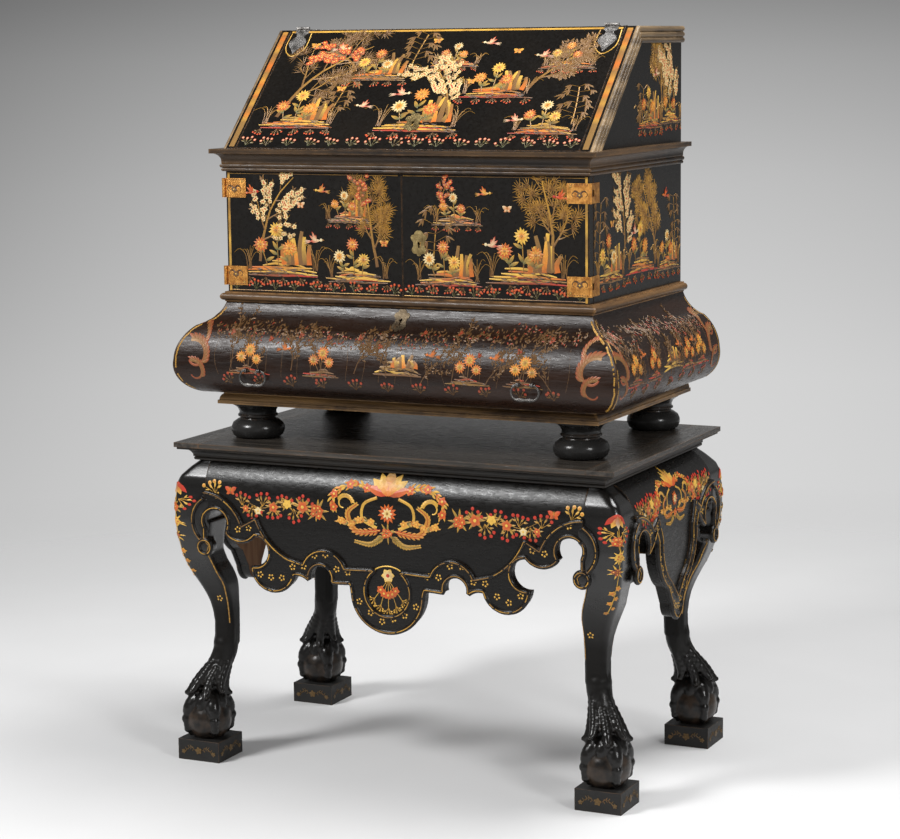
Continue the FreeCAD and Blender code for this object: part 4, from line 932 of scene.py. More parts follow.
class DESK_OT_ironwork(bpy.types.Operator):
    """Finish hinges, locks, plates and pulls"""
    bl_idname = "desk.ironwork"
    bl_label = "Ironwork and plates"

    def execute(self, context):
        for name, dark, light, rough, scale, nodes in (
                ("dark_iron", (0.08, 0.075, 0.07), (0.5, 0.48, 0.46), 0.36, 60.0,
                 ["lid_straps", "lid_top_straps", "hinge_pins", "drawer_lock", "door_lock", "lid_lock"]),
                ("gilt_brass", (0.34, 0.12, 0.03), (0.92, 0.47, 0.12), 0.3, 70.0,
                 ["door_left_leaves", "door_right_leaves", "door_case_leaves"]),
                ("worn_plate", (0.15, 0.105, 0.045), (0.5, 0.38, 0.17), 0.34, 60.0,
                 ["door_escutcheon", "lid_escutcheon"]),
                ("handled_iron", (0.03, 0.028, 0.027), (0.2, 0.19, 0.18), 0.26, 60.0,
                 ["drawer_pull_posts", "drawer_bail_left", "drawer_bail_right"]),
                ("dark_plate", (0.05, 0.036, 0.024), (0.22, 0.17, 0.11), 0.36, 60.0, ["drawer_escutcheon"])):
            finish_node(nodes, metal(name, dark, light, rough, scale))
        self.engrave("door_left_leaves", "left_door")
        self.engrave("door_right_leaves", "right_door")
        return {"FINISHED"}

    def engrave(self, node, body):
        """Dark engraved scrolls, a beaded rim and nails on the hinge plates of one door."""
        low, high = span(node)
        wide = high.x - low.x
        art = Painting(Cast([node], Vector(((low.x + high.x) / 2, low.y, 0)), *FRONT), 171)
        t = art.tint
        dark = (blend(t.umber, t.black, 0.6), t.umber)
        for level in (low.z + 0.42 * wide, high.z - 0.42 * wide):
            for hand in (-1, 1):
                art.scroll((hand * 0.2 * wide, level), 0.15 * wide, UP + hand * 1.2, -hand, dark, 3)
                for lift in (-0.3, 0.3):
                    nail = (hand * 0.36 * wide, level + lift * wide)
                    art.dot(nail, 0.05 * wide, (t.straw, t.umber), 2, 0.6)
            for share in range(-4, 5):
                for lift in (-0.37, 0.37):
                    bead = (share * 0.1 * wide, level + lift * wide)
                    art.dot(bead, 0.022 * wide, dark, 1, 0.3, sides=6)
            art.blossom((0.0, level), 0.13 * wide, dark, t.straw)
        art.finish(node + "_engraving", body)


# Where things go, from the frame's own boxes

def span(node):
    low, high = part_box(node)
    return Vector(low), Vector(high)


def middle(node):
    low, high = span(node)
    return (low + high) / 2


def leg_hands(leg):
    """Which side of the desk a leg stands on and whether it is a front or a rear one, each as -1 or 1."""
    return -1 if "left" in leg else 1, -1 if "front" in leg else 1


def ball_centre(side, depth):
    """The middle of the ball under the leg on that side and at that depth."""
    high = span("plinth_blocks")[1]
    ball = bpy.context.scene.desk_sizes.ball_radius
    return Vector((side * (high.x - ball), depth * (high.y - ball), high.z + BALL_RISE * ball))


def spring_level(node, axis):
    """The height at which an apron's lower edge leaves the leg."""
    end = span(node)[1][axis]
    corners = [vertex.co for vertex in mesh_of(node).vertices]
    return min(corner.z for corner in corners if abs(corner[axis] - end) < JOINT_REACH)


def lid_plane():
    """The lid's sloping face: middle, directions across and up, half its width and half its length."""
    mesh = mesh_of("lid")
    slopes = [face for face in mesh.polygons if face.normal.y < 0 < face.normal.z]
    slope = max(slopes, key=lambda face: face.area)
    across = Vector((1, 0, 0))
    up = slope.normal.cross(across)
    heights = [vertex.co.dot(up) for vertex in mesh.vertices
               if abs((vertex.co - slope.center).dot(slope.normal)) < FLAT_REACH]
    origin = slope.normal * slope.center.dot(slope.normal) + up * (min(heights) + max(heights)) / 2
    low, high = span("lid")
    return origin, across, up, (high.x - low.x) / 2, (max(heights) - min(heights)) / 2


# Forms

# Heights on a leg, in ball radii: the ball's middle above the plinth, and above that middle the ankle's
# foot, the cut of the saw and the lower end of the smoothed knee
BALL_RISE = 0.78
ANKLE_RISE = 1.15
SAW_RISE = 3.3
KNEE_RISE = 4.2
# How far a leg reaches into an apron, in metres
SEAM_REACH = 0.012


def choose(piece):
    """Make one object the only one selected, and active."""
    bpy.ops.object.select_all(action="DESELECT")
    piece.select_set(True)
    bpy.context.view_layer.objects.active = piece


def apply_all(piece):
    choose(piece)
    for modifier in list(piece.modifiers):
        bpy.ops.object.modifier_apply(modifier=modifier.name)


def merged_copy(node, name):
    """A copy of a frame piece with its doubled corners joined."""
    piece = new_object(name, mesh_of(node).copy())
    choose(piece)
    bpy.ops.object.mode_set(mode="EDIT")
    bpy.ops.mesh.select_all(action="SELECT")
    bpy.ops.mesh.remove_doubles(threshold=MERGE_REACH)
    bpy.ops.mesh.normals_make_consistent(inside=False)
    bpy.ops.object.mode_set(mode="OBJECT")
    bpy.ops.mesh.customdata_custom_splitnormals_clear()
    piece.data.materials.clear()
    return piece


def stand_in(piece, node, finish):
    """Give a piece its finish and let it take a CAD node's place on the fixed body."""
    piece.data.materials.clear()
    piece.data.materials.append(finish)
    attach(piece, "stand_and_case")
    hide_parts(node)


class DESK_OT_legs(bpy.types.Operator):
    """Carve the four legs softly, with scroll ears, hair cuffs and claws on balls"""
    bl_idname = "desk.legs"
    bl_label = "Legs"

    def execute(self, context):
        sizes = context.scene.desk_sizes
        finish = lacquer("leg_lacquer", tone("black"), STAND_CLOUD, 0.5, (0.16, 0.3), 0.002, is_leg=True)
        ball = sizes.ball_radius
        for node in LEGS:
            side, depth = leg_hands(node)
            centre = ball_centre(side, depth)
            piece = merged_copy(node, node + "_carved")
            cut = self.trim(piece, centre.z + SAW_RISE * ball)
            self.close_seams(piece)
            self.foot(piece, centre, ball, atan2(depth, side), cut)
            carve = piece.modifiers.new("carve", "REMESH")
            carve.mode = "VOXEL"
            carve.voxel_size = sizes.carving
            carve.use_smooth_shade = True
            self.ease(piece, 2)
            apply_all(piece)
            self.round_knee(piece, centre.z + KNEE_RISE * ball)
            stand_in(piece, node, finish)
        return {"FINISHED"}

    def trim(self, piece, level):
        """Saw the leg off above its foot; returns the middle and the half width of the cut."""
        choose(piece)
        bpy.ops.object.mode_set(mode="EDIT")
        bpy.ops.mesh.select_all(action="SELECT")
        bpy.ops.mesh.bisect(plane_co=(0, 0, level), plane_no=(0, 0, 1), use_fill=True, clear_inner=True)
        bpy.ops.object.mode_set(mode="OBJECT")
        rim = [vertex.co for vertex in piece.data.vertices if abs(vertex.co.z - level) < FLAT_REACH]
        low = Vector(min(point[axis] for point in rim) for axis in range(3))
        high = Vector(max(point[axis] for point in rim) for axis in range(3))
        return (low + high) / 2, (high.x - low.x + high.y - low.y) / 4

    def round_knee(self, piece, level):
        """Smooth the leg above its shank once more."""
        upper = piece.vertex_groups.new(name="upper")
        upper.add([vertex.index for vertex in piece.data.vertices if vertex.co.z > level], 1.0, "REPLACE")
        self.ease(piece, 14, upper.name)
        apply_all(piece)

    def ease(self, piece, rounds, points=""):
        """A smoothing modifier on all points or on a group of them."""
        smooth = piece.modifiers.new("ease", "SMOOTH")
        smooth.factor = 0.5
        smooth.iterations = rounds
        smooth.vertex_group = points

    def close_seams(self, piece):
        """Let the leg reach into the aprons and the moulding, so that no groove is left at the joints."""
        top = max(vertex.co.z for vertex in piece.data.vertices)
        for axis, apron in enumerate(("apron_front", "apron_right")):
            end = span(apron)[1][axis]
            level = spring_level(apron, axis)
            for vertex in piece.data.vertices:
                if vertex.co.z > level and abs(abs(vertex.co[axis]) - end) < JOINT_REACH:
                    vertex.co[axis] -= copysign(SEAM_REACH, vertex.co[axis])
        for vertex in piece.data.vertices:
            if top - vertex.co.z < FLAT_REACH:
                vertex.co.z += SEAM_REACH / 2

    def foot(self, piece, centre, ball, corner, cut):
        """A ball in four webbed toes under a cuff of hair, joined to the sawn leg by an ankle."""
        top, half = cut
        bottom = centre + Vector((0, 0, ANKLE_RISE * ball))

        def ankle(level):
            share = min(max((top.z - level) / (top.z - bottom.z), 0.0), 1.0)
            return top.lerp(bottom, share * share * (3 - 2 * share)), share

        beads = [(centre, ball)]
        steps = 16
        for number in range(steps + 1):
            level = top.z + (bottom.z - top.z) * number / steps
            place, share = ankle(level)
            beads.append((Vector((place.x, place.y, level)), half * (1.06 - 0.16 * share)))
        toe = ((18, 0.4), (28, 0.39), (38, 0.37), (48, 0.34), (58, 0.3), (66, 0.25), (76, 0.17),
               (86, 0.215), (101, 0.155), (112, 0.19), (127, 0.115))
        web = ((20, 0.4), (32, 0.32), (42, 0.22))
        lock = ((0.42, 2.75, 0.16), (0.46, 2.5, 0.19), (0.5, 2.28, 0.21), (0.55, 2.06, 0.23),
                (0.62, 1.84, 0.23), (0.7, 1.64, 0.21), (0.79, 1.48, 0.18), (0.89, 1.38, 0.145),
                (0.97, 1.37, 0.11))
        for number in range(8):
            turn = corner + number * pi / 4
            for polar, size in (web if number % 2 else toe):
                lean = radians(polar)
                out = Vector((sin(lean) * cos(turn), sin(lean) * sin(turn), cos(lean)))
                beads.append((centre + out * ball * 1.03, ball * size))
        for number in range(8):
            turn = corner + (number + 0.5) * pi / 4
            drop = 0.22 * (number % 2)
            for away, rise, size in lock:
                level = centre.z + ball * (rise - drop)
                core, _ = ankle(level)
                place = Vector((core.x + ball * away * cos(turn),
                                core.y + ball * away * sin(turn), level))
                beads.append((place, ball * size))
        shapes = []
        for place, radius in beads:
            bpy.ops.object.select_all(action="DESELECT")
            around = 32 if radius > 0.5 * ball else 14
            bpy.ops.mesh.primitive_uv_sphere_add(segments=around, ring_count=around // 2, radius=radius,
                                                 location=place)
            shapes.append(bpy.context.object)
        bpy.ops.object.select_all(action="DESELECT")
        for shape in shapes:
            shape.select_set(True)
        piece.select_set(True)
        bpy.context.view_layer.objects.active = piece
        bpy.ops.object.join()


class DESK_OT_bun_feet(bpy.types.Operator):
    """Turn the four bun feet"""
    bl_idname = "desk.bun_feet"
    bl_label = "Bun feet"

    def execute(self, context):
        low, high = span("bun_feet")
        tall = high.z - low.z
        reach = context.scene.desk_sizes.foot_radius
        places = [(x, y) for x in (low.x + reach, high.x - reach) for y in (low.y + reach, high.y - reach)]
        shares = ((0.8, 0.0), (0.93, 0.07), (1.0, 0.19), (1.0, 0.3), (0.93, 0.42), (0.76, 0.51),
                  (0.68, 0.53), (0.66, 0.565), (0.7, 0.59), (0.745, 0.605), (0.745, 0.645), (0.7, 0.67),
                  (0.69, 0.74), (0.76, 0.84), (0.9, 0.925), (0.95, 0.94), (0.95, 1.0))
        finish = lacquer("foot_lacquer", (0.0135, 0.0128, 0.012), (0.032, 0.031, 0.03), 0.5, (0.15, 0.32))
        points = []
        faces = []
        sides = 48
        for x, y in places:
            first = len(points)
            for out, rise in shares:
                for number in range(sides):
                    turn = tau * number / sides
                    points.append((x + reach * out * cos(turn), y + reach * out * sin(turn),
                                   low.z + tall * rise))
            faces.extend(tube_faces(first, len(shares), sides))
        mesh = bpy.data.meshes.new("bun_feet_turned")
        mesh.from_pydata(points, [], faces)
        piece = new_object("bun_feet_turned", mesh)
        choose(piece)
        bpy.ops.object.shade_smooth_by_angle(angle=radians(40))
        apply_all(piece)
        stand_in(piece, "bun_feet", finish)
        return {"FINISHED"}


# A crisp edge: the least and the most that its two faces look outwards, as cosines, and its least angle
OUTWARD = 0.55
AWAY = 0.45
CRISP = 0.6
# No ridge lies on the aprons' rounded top nor further back than the ears' rims; depths in metres
ROLL_DEPTH = 0.06
RIM_DEPTH = 0.0025
# In ridge radii: how far a ridge is sunk, how high the gilding lies on it and how thick that is
RIDGE_SINK = 0.35
GILT_RISE = 0.56
GILT_RADIUS = 0.24
# Chance that the gilding stops at a point
GILT_GAPS = 0.1


def sharp_lines(node, facing, keep):
    """Lines along the crisp edges of a piece's outer face that keep agrees to, as lists of points."""
    mesh = bmesh.new()
    mesh.from_mesh(mesh_of(node))
    bmesh.ops.remove_doubles(mesh, verts=mesh.verts, dist=MERGE_REACH)
    toward = Vector(facing)
    paths = {}
    for edge in mesh.edges:
        if len(edge.link_faces) != 2:
            continue
        one, other = edge.link_faces
        turns = sorted((one.normal.dot(toward), other.normal.dot(toward)))
        crisp = one.normal.angle(other.normal, 0.0) > CRISP
        if crisp and turns[1] > OUTWARD and turns[0] < AWAY and keep(edge):
            for vertex, far in ((edge.verts[0], edge.verts[1]), (edge.verts[1], edge.verts[0])):
                paths.setdefault(vertex.index, []).append(far.index)
    mesh.verts.ensure_lookup_table()
    places = [vertex.co.copy() for vertex in mesh.verts]
    mesh.free()
    used = set()
    lines = []
    for start in sorted(paths, key=lambda index: len(paths[index]) != 1):
        for step in paths[start]:
            if (start, step) in used:
                continue
            line = [start]
            here, ahead = start, step
            while ahead is not None:
                used.add((here, ahead))
                used.add((ahead, here))
                line.append(ahead)
                options = [index for index in paths[ahead] if (ahead, index) not in used]
                here, ahead = ahead, (options[0] if len(options) == 1 else None)
            lines.append([places[index] for index in line])
    return lines


def evenly(line, step):
    """The same line with points at even steps."""
    lengths = [0.0]
    for a, b in zip(line, line[1:]):
        lengths.append(lengths[-1] + (b - a).length)
    count = max(2, int(lengths[-1] / step))
    result = []
    at = 0
    for number in range(count + 1):
        want = lengths[-1] * number / count
        while at < len(lengths) - 2 and lengths[at + 1] < want:
            at += 1
        share = (want - lengths[at]) / max(lengths[at + 1] - lengths[at], TINY)
        result.append(line[at].lerp(line[at + 1], min(max(share, 0.0), 1.0)))
    return result


class Gilding(Strokes):
    """Cords along carved edges."""

    def __init__(self, seed, tints, sides=4, wobble=(0.65, 1.15)):
        super().__init__(seed)
        self.tints = tints
        self.sides = sides
        self.wobble = wobble

    def cord(self, line, radius):
        rings = []
        for number, here in enumerate(line):
            along = (line[min(number + 1, len(line) - 1)] - line[max(number - 1, 0)]).normalized()
            side = along.orthogonal().normalized()
            rise = along.cross(side)
            thick = radius * self.random.uniform(*self.wobble)
            turns = [tau * k / self.sides for k in range(self.sides)]
            rings.append([here + (side * cos(turn) + rise * sin(turn)) * thick for turn in turns])
        for number in range(1, len(rings)):
            first = min(range(self.sides), key=lambda k: (rings[number][k] - rings[number - 1][0]).length)
            rings[number] = rings[number][first:] + rings[number][:first]
        first = len(self.points)
        tint = self.random.uniform(0.0, 1.0)
        for ring in rings:
            tint = min(max(tint + self.random.uniform(-0.25, 0.25), 0.0), 1.0)
            for point in ring:
                self.points.append(point)
                self.colours.append((*blend(self.tints[0], self.tints[1], tint), 0.5))
        self.faces.extend(tube_faces(first, len(rings), self.sides))

    def worn(self, line, radius):
        """A cord that is rubbed away in places."""
        points = evenly(line, RIDGE_STEP)
        piece = []
        for point in points:
            piece.append(point)
            if self.random.random() < GILT_GAPS:
                if len(piece) > 2:
                    self.cord(piece, radius)
                piece = []
        if len(piece) > 2:
            self.cord(piece, radius)


class DESK_OT_gilt_edges(bpy.types.Operator):
    """Carve rounded ridges along the band and the scroll ears, with worn gilt lines on them"""
    bl_idname = "desk.gilt_edges"
    bl_label = "Ridges and gilt edges"

    def execute(self, context):
        sizes = context.scene.desk_sizes
        gilding = Gilding(sizes.seed, (blend(tone("ochre"), tone("umber"), 0.4), tone("gold")))
        ridges = Gilding(sizes.seed, (tone("black"), tone("black")), 10, (0.95, 1.0))
        top = span("apron_front")[1].z - ROLL_DEPTH
        for node, facing in (("apron_front", (0, -1, 0)), ("apron_left", (-1, 0, 0)),
                             ("apron_right", (1, 0, 0))):
            axis = 0 if facing[0] == 0 else 1
            end = span(node)[1][axis] - JOINT_REACH

            def keep(edge):
                return max(vertex.co.z for vertex in edge.verts) < top and \
                    min(abs(vertex.co[axis]) for vertex in edge.verts) < end

            for line in sharp_lines(node, facing, keep):
                self.ridge(ridges, gilding, line, Vector(facing), sizes.ridge)
        for node in LEGS:
            side, depth = leg_hands(node)
            for facing in ((side, 0, 0), (0, -1, 0))[:2 if depth < 0 else 1]:
                self.ear_lines(ridges, gilding, node, Vector(facing), sizes.ridge, top)
        ridges.finish("carved_ridges", material=stand_lacquer("ridges", None))
        choose(bpy.data.objects["carved_ridges"])
        bpy.ops.object.shade_smooth()
        gilding.finish("gilt_edges")
        return {"FINISHED"}

    def ridge(self, ridges, gilding, line, facing, radius):
        """One rounded ridge, half sunk, and the gilding rubbed off along its top."""
        even = evenly(line, RIDGE_STEP)
        ridges.cord([point - facing * RIDGE_SINK * radius for point in even], radius)
        gilding.worn([point + facing * GILT_RISE * radius for point in even], GILT_RADIUS * radius)

    def ear_lines(self, ridges, gilding, node, facing, radius, top):
        """The rims of a leg's scroll ear."""
        proud = max(vertex.co.dot(facing) for vertex in mesh_of(node).vertices) - RIM_DEPTH
        axis, apron = (0, "apron_front") if facing.x == 0 else (1, "apron_right")
        end = span(apron)[1][axis]
        spring = spring_level(apron, axis)

        def keep(edge):
            level = max(vertex.co.z for vertex in edge.verts)
            joint = all(abs(abs(vertex.co[axis]) - end) < JOINT_REACH for vertex in edge.verts)
            outmost = all(vertex.co.dot(facing) > proud for vertex in edge.verts)
            return outmost and level < (spring if joint else top)

        for line in sharp_lines(node, facing, keep):
            self.ridge(ridges, gilding, line, facing, radius)


class DESK_OT_lid_picture(bpy.types.Operator):
    """Paint the sloping lid with flowering banks, boughs and birds, and the stripes beside it"""
    bl_idname = "desk.lid_picture"
    bl_label = "Lid picture"

    def execute(self, context):
        origin, across, up, half, tall = lid_plane()
        art = Painting(Cast(["lid"], origin, across, up), 11)
        stem, dim = art.stem, art.dim
        leaves = art.pair("green", "gold")
        art.fill(
            lambda u, v: (half * u, tall * v),
            banks=((-0.7, -0.62, 0.165, ("red", "straw", "orange")),
                   (-0.34, 0.16, 0.14, ("straw", "red", "cream")),
                   (0.02, -0.66, 0.185, ("cream", "orange", "red")),
                   (0.4, -0.12, 0.15, ("orange", "straw", "red")),
                   (0.76, -0.7, 0.14, ("red", "cream", "straw"), False),
                   (0.76, 0.34, 0.115, ("straw", "orange", "red"), False),
                   (0.1, 0.38, 0.105, ("red", "cream", "orange"), False)),
            boughs=((-0.84, -0.48, 1.35, 0.27, 0.009, -0.7, stem, 2, art.needled(0.024, dim)),
                    (0.19, -0.5, 1.85, 0.19, 0.007, 0.7, stem, 2, art.in_bloom(PALE, leaves, 0.0062)),
                    (0.58, -0.02, 1.35, 0.16, 0.007, -0.8, stem, 2, art.leafy(0.012, dim, 2)),
                    (-0.48, 0.28, 1.9, 0.13, 0.006, 0.7, stem, 2, art.in_bloom(WARM, dim, 0.006))),
            canes=[(u, v, 0.105, lean, 0.024) for u, v, lean in (
                (-0.16, 0.3, 0.1), (-0.52, -0.5, 0.12), (0.9, -0.58, -0.12))],
            birds=[(*row, "cream", "red") for row in (
                (-0.14, -0.1, 0.024, 1), (0.26, 0.74, 0.021, -1), (0.6, 0.52, 0.022, -1),
                (-0.62, 0.66, 0.023, 1), (-0.34, -0.3, 0.021, -1), (0.58, -0.52, 0.021, 1))],
            butterflies=[(*place, 0.013, "orange", "straw") for place in (
                (-0.8, 0.72), (0.44, 0.6), (-0.06, 0.78), (0.24, 0.1), (-0.52, -0.02))])
        art.border(half, -tall * 0.95, 0.95, 16, 0.026, ("cream", "red"))
        edge = tall - 0.0055
        art.patches((-half * 0.99, edge), (half * 0.99, edge), 0.0085, ("gold", "straw", "gold"), 24)
        self.strap_outlines(art, origin, up, tall)
        art.finish("lid_picture", "lid")
        self.stripes(origin, across, up, tall)
        return {"FINISHED"}

    def strap_outlines(self, art, origin, up, tall):
        """Gold lines round the strap hinges."""
        straps = mesh_of("lid_straps").vertices
        for hand in (-1, 1):
            own = [vertex.co for vertex in straps if vertex.co.x * hand > 0]
            near = min(point.x for point in own) - 0.004
            far = max(point.x for point in own) + 0.004
            tip = min((point - origin).dot(up) for point in own) - 0.006
            top = tall - 0.01
            shoulder = tip + 0.024
            outline = [(near, top), (near, shoulder), ((near + far) / 2, tip), (far, shoulder), (far, top)]
            art.line(outline, 0.0022, art.pair("gold", "straw"), 1, 0.4)

    def stripes(self, origin, across, up, tall):
        """Ochre stripes on the sloping edges of the case sides."""
        for side in ("left", "right"):
            low, high = span("case_side_" + side)
            art = Painting(Cast(["case_side_" + side], origin, across, up), 17)
            place = (low.x + high.x) / 2
            art.patches((place, -tall * 0.97), (place, tall * 0.97), 0.92 * (high.x - low.x),
                        ("ochre", "gold", "ochre", "orange"), 30)
            art.finish("slope_stripe_" + side)


class DESK_OT_door_pictures(bpy.types.Operator):
    """Paint the two cupboard doors"""
    bl_idname = "desk.door_pictures"
    bl_label = "Door pictures"

    def execute(self, context):
        self.door("door_left", "left_door", -1, 21)
        self.door("door_right", "right_door", 1, 35)
        return {"FINISHED"}

    def door(self, name, body, hand, seed):
        """One door's picture; places are shares of the door, measured towards its hinges."""
        low, high = span(name)
        half = (high.x - low.x) / 2
        tall = (high.z - low.z) / 2
        art = Painting(Cast([name], middle(name), *FRONT), seed)
        stem, dim = art.stem, art.dim
        if hand > 0:
            boughs = ((0.62, -0.48, 1.45, 0.2, 0.008, 0.9, stem, 2, art.needled(0.022, stem)),)
            canes = ((-0.66, -0.5, 0.12, 0.1, 0.022),)
        else:
            boughs = ((0.62, -0.48, 1.65, 0.2, 0.007, -0.9, stem, 2, art.in_bloom(PALE, dim, 0.0062)),
                      (-0.72, -0.52, 1.75, 0.17, 0.007, 0.5, stem, 2, art.needled(0.02, stem)))
            canes = ()

        def spot(u, v):
            return half * u * hand, tall * v

        art.fill(
            spot,
            banks=((0.36, -0.66, 0.17, ("red", "straw", "orange")),
                   (-0.5, -0.74, 0.14, ("cream", "red", "straw"), hand > 0),
                   (-0.4, 0.22, 0.1, ("orange", "cream", "red"), hand < 0)),
            boughs=boughs, canes=canes)
        art.fill(
            spot,
            boughs=((-0.52, 0.34, UP + 0.3 * hand, 0.075, 0.004, -0.8 * hand, stem, 1,
                     art.in_bloom(WARM, dim, 0.0055)),),
            birds=((-0.02, -0.12, 0.022, -hand, "cream", "red"), (0.7, 0.66, 0.02, -hand, "red", "orange"),
                   (-0.1, 0.7, 0.018, hand, "straw", "red")),
            butterflies=((0.14, 0.46, 0.012, "orange", "cream"), (-0.8, -0.14, 0.012, "red", "straw")))
        art.border(half, -tall * 0.95, 0.9, 9, 0.022, ("orange", "red"))
        edge = (half - 0.006) * hand
        art.patches((edge, -tall * 0.985), (edge, tall * 0.985), 0.009, ("gold", "straw", "ochre"), 16)
        for level in (-tall + 0.004, tall - 0.004):
            art.patches((-half * 0.985, level), (half * 0.96, level), 0.0026, ("gold", "umber", "ochre"), 16)
        art.finish(name + "_picture", body)


class DESK_OT_side_pictures(bpy.types.Operator):
    """Paint the sides of cupboard and slope"""
    bl_idname = "desk.side_pictures"
    bl_label = "Side pictures"

    def execute(self, context):
        for side, axes, seed in (("right", RIGHT, 51), ("left", LEFT, 67)):
            name = "case_side_" + side
            low, high = span(name)
            centre = middle(name)
            art = Painting(Cast([name], centre, *axes), seed)
            half = (high.y - low.y) / 2
            self.cupboard(art, half, span("door_right")[0].z - centre.z)
            self.slope(art, half, axes[0].y, span("cornice_sides")[1].z - centre.z)
            art.finish(name + "_picture")
        return {"FINISHED"}

    def cupboard(self, art, half, base):
        """The part beside the doors."""
        stem = art.stem
        art.fill(
            lambda u, v: (half * u, base + v),
            banks=((-0.58, 0.04, 0.15, ("straw", "red", "cream")),
                   (0.1, 0.046, 0.16, ("red", "straw", "orange"), False),
                   (0.7, 0.038, 0.13, ("orange", "cream", "red"))),
            boughs=((-0.3, 0.065, 1.4, 0.17, 0.007, 0.7, stem, 2, art.in_bloom(PALE, art.dim, 0.0065)),
                    (0.42, 0.06, 1.65, 0.18, 0.008, 0.5, stem, 2, art.needled(0.022, stem))),
            canes=((-0.82, 0.055, 0.14, 0.08, 0.024), (0.86, 0.055, 0.13, -0.08, 0.022)),
            birds=((-0.06, 0.125, 0.022, 1, "cream", "red"), (0.62, 0.19, 0.02, -1, "orange", "red")),
            butterflies=((-0.55, 0.15, 0.013, "orange", "straw"),))

    def slope(self, art, half, way, shelf):
        """The part beside the lid, deepest at the back of the desk."""
        stem = art.stem
        art.fill(
            lambda u, v: (way * half * u, shelf + v),
            banks=((0.28, 0.04, 0.13, ("red", "straw", "orange")),
                   (0.76, 0.046, 0.12, ("orange", "cream", "red"), False)),
            boughs=((0.52, 0.05, UP - way * 0.1, 0.15, 0.007, way * 0.5, stem, 2, art.needled(0.02, stem)),
                    (0.86, 0.06, UP + way * 0.1, 0.15, 0.006, way * 0.4, stem, 2,
                     art.in_bloom(PALE, art.dim, 0.0065))),
            canes=((0.1, 0.03, 0.085, way * 0.1, 0.02),),
            birds=((0.42, 0.145, 0.018, way, "cream", "red"),))


class DESK_OT_bombe_pictures(bpy.types.Operator):
    """Paint the swelled drawer front and its sides"""
    bl_idname = "desk.bombe_pictures"
    bl_label = "Drawer section pictures"

    def execute(self, context):
        for name, axes, body, seed in (("drawer_front", FRONT, "drawer", 81),
                                       ("bombe_side_right", RIGHT, "stand_and_case", 93),
                                       ("bombe_side_left", LEFT, "stand_and_case", 97)):
            low, high = span(name)
            art = Painting(Cast([name], middle(name), *axes), seed)
            half = (high.x - low.x) / 2 if axes is FRONT else (high.y - low.y) / 2
            tall = (high.z - low.z) / 2
            t = art.tint
            dull = blend(blend(t.ochre, t.umber, 0.45), t.black, 0.25)
            dim = (blend(t.umber, t.black, 0.3), dull)
            self.foliage(art, half, tall, dim)
            self.figures(art, half, tall, dim)
            art.finish(name + "_picture", body)
        return {"FINISHED"}

    def foliage(self, art, half, tall, dim):
        """A dim hedge of boughs, posies and loose leaves, and a worn line at each end."""
        t = art.tint
        red = (blend(t.red, t.umber, 0.6), blend(t.red, t.umber, 0.3))
        some = art.some
        count = int(half / 0.042)
        for number in range(count):
            u = half * (-0.8 + 1.6 * (number + 0.5) / count)
            art.bough((u, -tall * some(0.3, 0.62)), some(1.1, 2.0), some(0.07, 0.12), 0.0024,
                      some(-0.9, 0.9), dim, 1, art.leafy(0.008, dim, 2))
            art.cluster((u + some(-0.02, 0.02), tall * some(0.15, 0.6)), 0.009, red, dim[1], dim, 3)
            art.sprig((u, -tall * 0.72), UP + some(-0.6, 0.6), 0.024, red, dim)
        for number in range(2 * count):
            u = half * (-0.82 + 1.64 * (number + 0.5) / (2 * count))
            v = tall * some(0.3, 0.62)
            for _ in range(34):
                place = (u + some(-0.024, 0.024), v + some(-0.013, 0.013))
                tint = t.red if art.random.random() < 0.15 else dim[1]
                art.leaf(place, some(0.0, ANY_TURN), some(0.004, 0.007), 0.0026, (dim[0], tint), 1, 0.2)
            art.line([(u, -tall * 0.52), (u + some(-0.01, 0.01), -tall * 0.1), (u, v)], 0.0015, dim, 0, 0.2)
        levels = [tall * (-0.92 + 1.8 * row / 40) for row in range(41)]
        for end in (-1, 1):
            art.edge_line(end * half * 1.02, end, levels, 0.0045, 0.0032, (t.ochre, t.gold), 1)

    def figures(self, art, half, tall, dim):
        """Banks with flowers, birds between them and scrolls at the ends."""
        t = art.tint
        art.mound((half * 0.05, -tall * 0.34), 0.12, 0.03, ("ochre", "straw", "ochre", "umber"))
        art.rock((half * 0.08, -tall * 0.18), 0.05, 0.026)
        for share, name in ((-0.64, "orange"), (-0.3, "red"), (0.36, "red"), (0.6, "orange")):
            petal = getattr(t, name)
            art.mound((half * share, -tall * 0.46), 0.095, 0.014, ("ochre", "red", "umber"), rows=4)
            foot = (half * share, -tall * 0.42)
            for lift, lean, size in ((0.034, -0.016, 0.013), (0.048, 0.004, 0.015), (0.03, 0.02, 0.012)):
                head = (half * share + lean, -tall * 0.46 + lift)
                art.line([foot, blend(foot, head, 0.5), head], 0.0018, dim, 1)
                art.chrysanthemum(head, size, (petal, blend(petal, t.straw, 0.45)), (t.ochre, t.straw))
        for share in (-0.47, 0.2, 0.48):
            art.bird((half * share, tall * 0.1), 0.017, 1 if share < 0 else -1, (t.orange, t.umber))
        faded = (blend(t.ochre, t.umber, 0.3), blend(t.red, t.umber, 0.6))
        for end in (-1, 1):
            for level, size in ((0.26, 0.03), (-0.14, 0.036), (-0.5, 0.026)):
                art.scroll((end * half * 0.9, tall * level), size, 1.2 if end > 0 else 1.9, end, faded)


